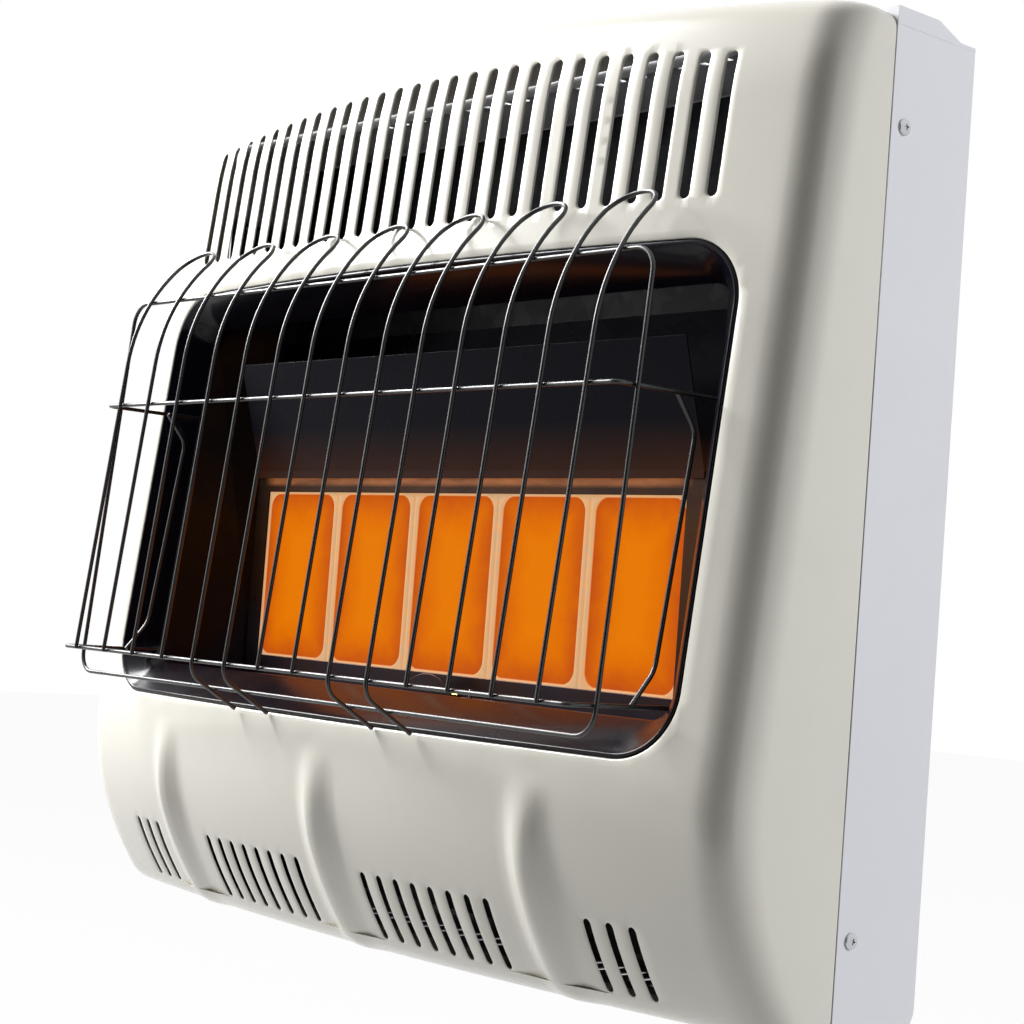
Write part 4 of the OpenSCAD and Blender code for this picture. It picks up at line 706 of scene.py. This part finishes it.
def windowSurround():
    s = surround
    loops = [surroundLoop(-s["flange"], s["flangeDepth"]), surroundLoop(s["gap"], s["flangeDepth"])]
    for a in np.linspace(0, math.pi, 6):
        inset, rise = s["lip"] / 2 * (1 - math.cos(a)), s["lip"] / 4 * math.sin(a)
        loops.append(surroundLoop(s["gap"] + inset, s["lipDepth"] - rise))
    outer = loops[-1]
    inner = surroundLoop(s["band"], 0.0)
    inner[:, 1] = surroundDepth(inner[:, 2])
    for share in (0.1, 0.3, 0.5, 0.7, 0.88, 0.96, 1.0):
        step = outer + (inner - outer) * share
        step[:, 1] -= s["crown"] * math.sin(math.pi * share)
        loops.append(step)
    for inward, back in s["turnedBack"]:
        turned = surroundLoop(s["band"] + inward, 0.0)
        turned[:, 1] = inner[:, 1] + back
        loops.append(turned)
    faces = gridFaces(len(loops), len(outer), True)
    made = meshObject("windowSurround", toFrame(np.concatenate(loops)), faces, looks["black_enamel"])
    sheetWall(made, s["sheet"], 50)
    handOver(made, "heater", "window_surround")


windowSurround()
print("window surround formed")

guard = {"wire": 1.5, "drawn": 0.97, "clear": 0.3, "pitch": 39.1, "hoops": 7, "lowWire": 184.0,
         "midWire": 367.0, "legTop": 493.0, "bendHeight": 398.0, "bendRadius": 130.0, "bendEnd": 45.0,
         "crossHalf": 277.0, "crossCorner": 6.0, "ringTop": 449.0, "ringCorner": 15.0, "footRadius": 14.0,
         "footTurn": 60.0, "stayDrop": 21.0, "stayCorner": 6.0, "sides": 16}
leanAngle = math.atan(face["lean"])
bendEnd, footTurn = math.radians(guard["bendEnd"]), math.radians(guard["footTurn"])
loopRadius = guard["pitch"] / 2
legTop = panelDepth(0, guard["legTop"]) - guard["wire"] - guard["clear"]
arcEnd = (legTop - loopRadius * math.sin(bendEnd),
          guard["bendHeight"] + guard["bendRadius"] * (math.sin(bendEnd) - math.sin(leanAngle)))
bendDepth = arcEnd[0] - guard["bendRadius"] * (math.cos(leanAngle) - math.cos(bendEnd))


def legDepth(z):
    return bendDepth + face["lean"] * (z - guard["bendHeight"])


def footPath(x):
    # the short hook below a leg, from the bottom wire back to the window's lip
    r, low = guard["footRadius"], guard["lowWire"]
    cy, cz = legDepth(low) + r * math.cos(leanAngle), low - r * math.sin(leanAngle)
    path = [(x, cy - r * math.cos(a), cz + r * math.sin(a)) for a in np.linspace(-footTurn, leanAngle, 9)]
    _, y, z = path[0]
    lip = panelDepth(x, window["low"]) - guard["clear"] - guard["wire"] * math.cos(footTurn)
    reach = (lip - y) / math.sin(footTurn)
    return [(x, lip, z - reach * math.cos(footTurn))] + path


def hoopPath(withFeet):
    low, high, r = guard["lowWire"], guard["bendHeight"], guard["bendRadius"]
    cy, cz = bendDepth + r * math.cos(leanAngle), high - r * math.sin(leanAngle)
    legs = []
    for x in (-loopRadius, loopRadius):
        leg = footPath(x) if withFeet else [(x, legDepth(low - 1.0), low - 1.0)]
        leg += [(x, legDepth(z), z) for z in np.linspace(low + 8, high, 5)]
        leg += [(x, cy - r * math.cos(a), cz + r * math.sin(a))
                for a in np.linspace(leanAngle, bendEnd, 15)[1:]]
        legs.append(leg)
    turn = []
    for a in np.linspace(math.pi, 0, 21)[1:-1]:
        x, out = loopRadius * math.cos(a), loopRadius * math.sin(a)
        turn.append((x, arcEnd[0] + out * math.sin(bendEnd), arcEnd[1] + out * math.cos(bendEnd)))
    return legs[0] + turn + legs[1][::-1]


def wireObject(name, paths, closed=False, count=1, pitch=0.0):
    points, edges = [], []
    for path in paths:
        base = len(points)
        points += list(toFrame(path))
        edges += [(base + k, base + k + 1) for k in range(len(path) - 1)]
        if closed:
            edges.append((base + len(path) - 1, base))
    made = meshObject(name, points, [], looks["guard_black"], edges)
    applyTree(made, wireTree, {"Count": count, "Pitch": pitch * mm, "Sides": guard["sides"],
                               "Wire Radius": guard["wire"] * guard["drawn"] * mm,
                               "Material": looks["guard_black"]})
    orient(made)
    dress(made.data, "guard_black", 50)
    return made


def joined(name, parts):
    # several finished objects as one
    mesh = bpy.data.meshes.new(name)
    with editing(mesh) as shape:
        for part in parts:
            shape.from_mesh(part.data)
            bpy.data.objects.remove(part)
    dress(mesh, "guard_black", 50)
    return placed(name, mesh)


def crossPath(z, rear):
    r, half = guard["crossCorner"], guard["crossHalf"]
    y = legDepth(z) + 2 * guard["wire"]
    right = [(half - r + r * math.sin(a), y + r - r * math.cos(a), z) for a in np.linspace(0, math.pi / 2, 9)]
    right.append((half, rear, z))
    return [(-px, py, pz) for px, py, pz in right[::-1]] + right


def guardHoops():
    plain = wireObject("plainHoop", [hoopPath(False)], False, guard["hoops"], 2 * guard["pitch"])
    # the third and fifth hoops end in hooks, so the plain ones are dropped there
    hooked = 2 * guard["pitch"] * mm
    with editing(plain.data) as shape:
        gone = [v for v in shape.verts if abs(abs(v.co.x) - hooked) < hooked / 2 - 1e-5]
        bmesh.ops.delete(shape, geom=gone, context="VERTS")
    hooks = wireObject("hooks", [hoopPath(True)], False, 2, 4 * guard["pitch"])
    return joined("guardHoops", [plain, hooks])


def guardRing():
    # the frame in front of the hoops, from below the hooks up to the bends
    across = 2 * guard["wire"]
    hook = np.array(footPath(0)[1][1:])
    low = hook + guard["footRadius"] * np.array([math.sin(footTurn), -math.cos(footTurn)]) \
        + across * np.array([math.cos(footTurn), math.sin(footTurn)])
    angle = math.asin(math.sin(leanAngle) + (guard["ringTop"] - guard["bendHeight"]) / guard["bendRadius"])
    y = bendDepth + guard["bendRadius"] * (math.cos(leanAngle) - math.cos(angle))
    top = np.array([y + across * math.cos(angle), guard["ringTop"] - across * math.sin(angle)])
    length = np.linalg.norm(top - low)
    up = (top - low) / length
    half, r = guard["crossHalf"] + across, guard["ringCorner"]
    flat = []
    for cx, cz, start in ((half - r, length - r, 0), (r - half, length - r, 0.5), (r - half, r, 1),
                          (half - r, r, 1.5)):
        flat += [(cx + r * math.cos(a), cz + r * math.sin(a))
                 for a in math.pi * (start + np.linspace(0, 0.5, 9))]
    return wireObject("guardRing", [[(x, low[0] + up[0] * h, low[1] + up[1] * h) for x, h in flat]], True)


def guardStays():
    # the two bent wires between the cross wires, with rounded bends
    x, drop = guard["crossHalf"] - 2 * guard["wire"], guard["stayDrop"]
    mid, low = guard["midWire"], guard["lowWire"]
    yMid, yLow = surroundDepth(mid) - drop, surroundDepth(low) - drop
    route = np.array([(yMid - drop / 2, mid), (yMid + drop / 3, mid - drop), (yLow + drop / 3, low + drop),
                      (yLow - drop / 2, low)])
    soft = [route[0]]
    for a, b, c in zip(route, route[1:], route[2:]):
        before, after = (b + (p - b) / np.linalg.norm(p - b) * guard["stayCorner"] for p in (a, c))
        soft += [(1 - t) ** 2 * before + 2 * t * (1 - t) * b + t * t * after for t in np.linspace(0, 1, 6)]
    soft.append(route[-1])
    return wireObject("guardStays", [[(side * x, y, z) for y, z in soft] for side in (-1, 1)])


def wireGuard():
    low, mid = guard["lowWire"], guard["midWire"]
    handOver(guardHoops(), "heater", "guard_hoops")
    handOver(guardRing(), "heater", "guard_ring")
    for piece, node, z, back in (("guardMiddleWire", "guard_middle_wire", mid, 0.0),
                                 ("guardBottomWire", "guard_bottom_wire", low, 2 * guard["wire"])):
        handOver(wireObject(piece, [crossPath(z, surroundDepth(z) - back)]), "heater", node)
    handOver(guardStays(), "heater", "guard_stays")


wireGuard()
print("wire guard bent")

plaques = {"width": 90.0, "height": 132.0, "thick": 13.0, "gap": 1.0, "count": 5, "low": 184.0, "front": 99.0,
           "rim": 4.0, "sunk": 1.2, "step": 1.0, "corner": 11.0, "fade": 1.6, "fadeStart": 0.3,
           "lipWidth": 1.5, "lipDrop": 0.5, "heartReach": 34.0}


def burnerPlaques():
    p = plaques
    columns, rows = round(p["width"] / p["step"]) + 1, round(p["height"] / p["step"]) + 1
    halfW, halfH = p["width"] / 2, p["height"] / 2
    gx, gz = np.meshgrid(np.linspace(-halfW, halfW, columns), np.linspace(0, p["height"], rows))
    away = roundedDistance(gx, gz - halfH, halfW - p["rim"], halfH - p["rim"], p["corner"])
    inside = np.clip(-away / p["fade"] + p["fadeStart"], 0, 1)
    inside = inside * inside * (3 - 2 * inside)
    lip = np.clip(np.minimum(halfW - np.abs(gx), halfH - np.abs(gz - halfH)) / p["lipWidth"], 0, 1)
    gy = -p["front"] + p["sunk"] * inside + p["lipDrop"] * (1 - lip) ** 2
    front = np.stack([gx, gy, gz + p["low"]], -1).reshape(-1, 3)
    # the border of the front, all the way round, carries the sides and the back
    index = np.arange(rows * columns).reshape(rows, columns)
    ring = np.concatenate([index[0], index[1:, -1], index[-1, -2::-1], index[-2:0:-1, 0]])
    back = front[ring].copy()
    back[:, 1] = -p["front"] + p["thick"]
    n, m = len(front), len(ring)
    faces = gridFaces(rows, columns) + [range(n, n + m)]
    faces += [(ring[k], n + k, n + (k + 1) % m, ring[(k + 1) % m]) for k in range(m)]
    made = meshObject("burnerPlaques", toFrame(np.concatenate([front, back])), faces, looks["glow_ceramic"])
    for name, values in (("lit", inside), ("heart", np.clip(-away / p["heartReach"], 0, 1))):
        store = made.data.attributes.new(name, "FLOAT", "POINT")
        store.data.foreach_set("value", np.append(values.ravel(), np.zeros(m)).astype(np.float32))
    applyTree(made, rowTree, {"Count": p["count"], "Pitch": (p["width"] + p["gap"]) * mm,
                              "Material": looks["glow_ceramic"]})
    orient(made)
    dress(made.data, "glow_ceramic", 50)
    handOver(made, "heater", "plaque_far_left", "plaque_left", "plaque_centre", "plaque_right",
             "plaque_far_right")


burnerPlaques()
print("plaques laid in a row")

screw = {"head": 5.0, "rise": 2.2, "shank": 1.9, "length": 7.0, "back": 13.0, "proud": 0.04,
         "heights": (57.0, 536.0), "turns": (0.35, 0.9, 1.3, 0.1), "sides": 40, "cross": 1.5,
         "crossLength": 5.75, "crossDepth": 2.4, "crossTaper": 0.45}


def screwShape():
    # a pan head with a cross recess, its axis along +X from the face that it sits on
    head, rise, shank, length = (screw[k] for k in ("head", "rise", "shank", "length"))
    profile = [(0.0, rise * 0.98)]
    profile += [(head * math.sin(a), rise * (0.35 + 0.63 * math.cos(a)))
                for a in np.linspace(0.15, math.pi / 2, 9)]
    profile += [(head, 0.25), (head - 0.2, 0.0), (shank, 0.0), (shank, -length + 1), (shank - 0.7, -length),
                (0.0, -length)]
    sides = screw["sides"]
    points = [(h, r * math.cos(2 * math.pi * k / sides), r * math.sin(2 * math.pi * k / sides))
              for r, h in profile for k in range(sides)]
    faces = gridFaces(len(profile), sides, True)
    made = meshObject("screwShape", np.array(points) * mm, faces, looks["steel"])
    orient(made)
    for wide, tall in ((screw["cross"], screw["crossLength"]), (screw["crossLength"], screw["cross"])):
        cutter = meshObject("cutter", [], [], looks["steel"])
        with editing(cutter.data) as shape:
            bmesh.ops.create_cube(shape, size=1.0)
            for v in shape.verts:
                taper = screw["crossTaper"] if v.co.x < 0 else 1.0
                v.co = Vector((v.co.x * screw["crossDepth"] + rise + 0.1, v.co.y * wide * taper,
                               v.co.z * tall * taper)) * mm
        cut = made.modifiers.new("cross", "BOOLEAN")
        cut.object, cut.operation, cut.solver = cutter, "DIFFERENCE", "EXACT"
        bake(made)
        bpy.data.objects.remove(cutter)
    shadeByAngle(made.data, 32)
    return made


def caseScrews():
    shape = screwShape()
    half, y = heater["width"] / 2 + screw["proud"], screw["back"] - heater["caseDepth"]
    places = [(side * half, y, z) for side in (-1, 1) for z in screw["heights"]]
    made = meshObject("caseScrews", toFrame(places), [], looks["steel"])
    turns = made.data.attributes.new("turn", "FLOAT_VECTOR", "POINT")
    for store, turn, (x, _, _) in zip(turns.data, screw["turns"], places):
        store.vector = (turn, 0.0, 0.0 if x > 0 else math.pi)
    applyTree(made, spreadTree, {"Shape": shape, "Material": looks["steel"]})
    bpy.data.objects.remove(shape)
    dress(made.data, "steel", 32)
    handOver(made, "heater", "case_screws")


caseScrews()
print("screws driven")


def rearTurn():
    # the bottom panel's rear edge, turned up along the sides' rounded corner until it meets the back panel
    r, sheet, half = heater["rearCorner"], heater["sheet"], heater["width"] / 2 - heater["sheet"]
    profile = []
    for radius, order in ((r, 1), (r - sheet, -1)):
        angles = np.linspace(0, math.asin((r - 2 * sheet - 0.02) / radius), 8)[::order]
        profile += [(-r + radius * math.sin(a), r - radius * math.cos(a)) for a in angles]
    n = len(profile)
    made = meshObject("rearTurn", toFrame([(x, y, z) for x in (-half, half) for y, z in profile]),
                      gridFaces(2, n, True) + [range(n), range(n, 2 * n)], looks["case_paint"])
    orient(made)
    mesh = made.data
    bpy.data.objects.remove(made)
    return mesh


def refined(node, width):
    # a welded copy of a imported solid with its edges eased
    words = node.split("_")
    name = words[0] + "".join(w.title() for w in words[1:])
    made = placed(name, cadNodes[node].data.copy())
    with editing(made.data) as shape:
        if node == "bottom_panel":
            shape.from_mesh(rearTurn())
        bmesh.ops.remove_doubles(shape, verts=shape.verts, dist=2e-6)
        bmesh.ops.dissolve_limit(shape, angle_limit=math.radians(0.6), verts=shape.verts, edges=shape.edges)
    dress(made.data, nodeSlot[node], 32)
    if width:
        ease = made.modifiers.new("ease", "BEVEL")
        ease.width, ease.segments, ease.limit_method = width * mm, 2, "ANGLE"
        ease.angle_limit, ease.use_clamp_overlap = math.radians(40), True
        level = made.modifiers.new("level", "WEIGHTED_NORMAL")
        level.mode, level.weight, level.keep_sharp = "FACE_AREA", 100, True
        bake(made)
    body = next(b for b, members in frame["record"]["behaviour"]["bodies"].items() if node in members)
    handOver(made, body, node)


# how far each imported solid's edges are eased, in millimetres
easing = {
    "side_panel_left": 0.45, "side_panel_right": 0.45, "top_cover": 0.4, "back_panel": 0.3,
    "bottom_panel": 0.4, "wall_bracket": 0.4, "rear_heat_shield": 0.2, "burner_plenum": 0.4,
    "burner_frame": 0.35, "burner_brackets": 0.3, "heat_deflector": 0.2, "reflector_left": 0.2,
    "reflector_right": 0.2, "reflector_lower": 0.2, "mixing_tube": 0.3, "injector": 0.3,
    "injector_elbow": 0.8, "manifold_pipe": 0.3, "supply_pipe": 0.3, "pressure_regulator": 0.8,
    "inlet_fitting": 0.6, "regulator_bracket": 0.3, "gas_valve": 1.2, "valve_bracket": 0.3,
    "valve_rotor": 0.2, "valve_stem": 0.3, "control_knob": 0.35, "pilot_bracket": 0.25, "pilot_burner": 0.2,
    "spark_electrode": 0.2, "flame_sensor": 0.2, "pilot_tube": 0.0, "ignition_lead": 0.0,
    "sensing_bulb": 0.6, "capillary_tube": 0.0, "bulb_clips": 0.3, "igniter_body": 0.4, "igniter_nut": 0.4,
    "igniter_button": 0.5, "igniter_plunger": 0.2, "stem_spring": 0.0, "igniter_spring": 0.0,
    "plenum_gasket": 0.3}
for node, width in easing.items():
    refined(node, width)
for node, holder in cadNodes.items():
    for spot in holder.material_slots:
        spot.material = looks[nodeSlot[node]]
springs = {"stem_spring": ("stemSpring", "knob_push", 0.0036),
           "igniter_spring": ("igniterSpring", "igniter_press", 0.006)}
for node, (piece, joint, travel) in springs.items():
    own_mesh(bpy.data.objects[piece])
print("sheet metal and gas train refined:", len(easing))

# camera, lamps and studio, in metres
shot = {"place": (1.13099, -1.04277, -0.27022), "azimuth": 48.608, "elevation": 2.848, "roll": 4.2706,
        "lens": 74.248, "sensor": 36.0}
lamps = {"keyLamp": {"place": (-2.5, -1.25, 1.75), "target": (0, -0.1, 0.1), "size": (1.9, 1.9),
                     "power": 300},
         "sideLamp": {"place": (2.6, 1.7, 0.8), "target": (0.34, -0.05, 0.05), "size": (1.2, 1.8),
                      "power": 74, "colour": (0.97, 0.98, 1.0), "mirrored": False}}
room = {"tint": (0.93, 0.96, 1.0, 1), "strength": 0.13, "floorLevel": -0.86, "floorHalf": 9.0,
        "floorGrey": (0.4, 0.4, 0.4, 1), "floorWhite": 0.96}
card = {"middle": (0.94, -1.60, 0.0), "half": (1.30, 0.52, 0.0), "height": (0.0, 0.0, 1.4),
        "colour": (0.01, 0.01, 0.01, 1)}


def addCamera():
    a, e, r = (math.radians(shot[k]) for k in ("azimuth", "elevation", "roll"))
    ahead = Vector((-math.sin(a) * math.cos(e), math.cos(a) * math.cos(e), math.sin(e)))
    right = Vector((math.cos(a), math.sin(a), 0.0))
    up = right.cross(ahead)
    turned = (right * math.cos(r) + up * math.sin(r), up * math.cos(r) - right * math.sin(r))
    lens = bpy.data.cameras.new("camera")
    lens.lens, lens.sensor_width, lens.sensor_fit = shot["lens"], shot["sensor"], "HORIZONTAL"
    lens.clip_start, lens.clip_end = 0.01, 50.0
    made = placed("camera", lens)
    made.matrix_world = Matrix.Translation(shot["place"]) @ Matrix((*turned, -ahead)).transposed().to_4x4()
    bpy.context.scene.camera = made


def areaLamp(name, place, target, size, power, colour=(1, 1, 1), mirrored=True):
    lamp = bpy.data.lights.new(name, "AREA")
    lamp.shape, lamp.size, lamp.size_y = "RECTANGLE", size[0], size[1]
    lamp.energy, lamp.color = power, colour
    made = placed(name, lamp)
    made.location = place
    made.rotation_euler = (Vector(target) - Vector(place)).to_track_quat("-Z", "Y").to_euler()
    made.visible_glossy = mirrored


def addFloor():
    s = Shader("paleFloor")
    # seen straight on, in gloss or through glass, the floor is white, and it still takes the shadow
    seen, glossy, through = (s.node("ShaderNodeLightPath", {}, {}, "Is %s Ray" % ray)
                             for ray in ("Camera", "Glossy", "Transmission"))
    soft = s.node("ShaderNodeBsdfDiffuse", {}, {"Color": room["floorGrey"]})
    white = s.node("ShaderNodeEmission", {}, {"Color": (1, 1, 1, 1), "Strength": 1.0})
    share = (seen + glossy + through) * room["floorWhite"]
    mixed = s.node("ShaderNodeMixShader", {}, {0: share, 1: soft, 2: white})
    s.node("ShaderNodeOutputMaterial", {}, {"Surface": mixed})
    corners = [(x * room["floorHalf"], y * room["floorHalf"], room["floorLevel"])
               for x, y in ((-1, -1), (1, -1), (1, 1), (-1, 1))]
    meshObject("floor", corners, [(0, 1, 2, 3)], s.material)


def addWorld():
    world = bpy.data.worlds.new("studio")
    bpy.context.scene.world = world
    world.use_nodes = True
    tree = world.node_tree
    tree.nodes.clear()
    rays = addNode(tree, "ShaderNodeLightPath").outputs
    seen = rays["Is Camera Ray"]
    for ray in ("Is Glossy Ray", "Is Transmission Ray"):
        seen = addNode(tree, "ShaderNodeMath", {0: seen, 1: rays[ray]}, operation="MAXIMUM")
    dim = addNode(tree, "ShaderNodeBackground", {"Color": room["tint"], "Strength": room["strength"]})
    white = addNode(tree, "ShaderNodeBackground", {"Color": (1, 1, 1, 1), "Strength": 1.0})
    mix = addNode(tree, "ShaderNodeMixShader", {0: seen, 1: dim, 2: white})
    addNode(tree, "ShaderNodeOutputWorld", {0: mix})


def darkCard():
    # a dark studio card behind the camera, which the rounded right-hand edge reflects
    middle, half, height = (Vector(card[k]) for k in ("middle", "half", "height"))
    corners = [middle - half - height, middle + half - height, middle + half + height, middle - half + height]
    s = Shader("cardBlack")
    black = s.node("ShaderNodeBsdfDiffuse", {}, {"Color": card["colour"]})
    s.node("ShaderNodeOutputMaterial", {}, {"Surface": black})
    made = meshObject("darkCard", corners, [(0, 1, 2, 3)], s.material)
    made.visible_camera = False


addCamera()
addFloor()
darkCard()
addWorld()
for name, settings in lamps.items():
    areaLamp(name, **settings)
bpy.context.scene.view_settings.view_transform = "Standard"

print("scene ready")
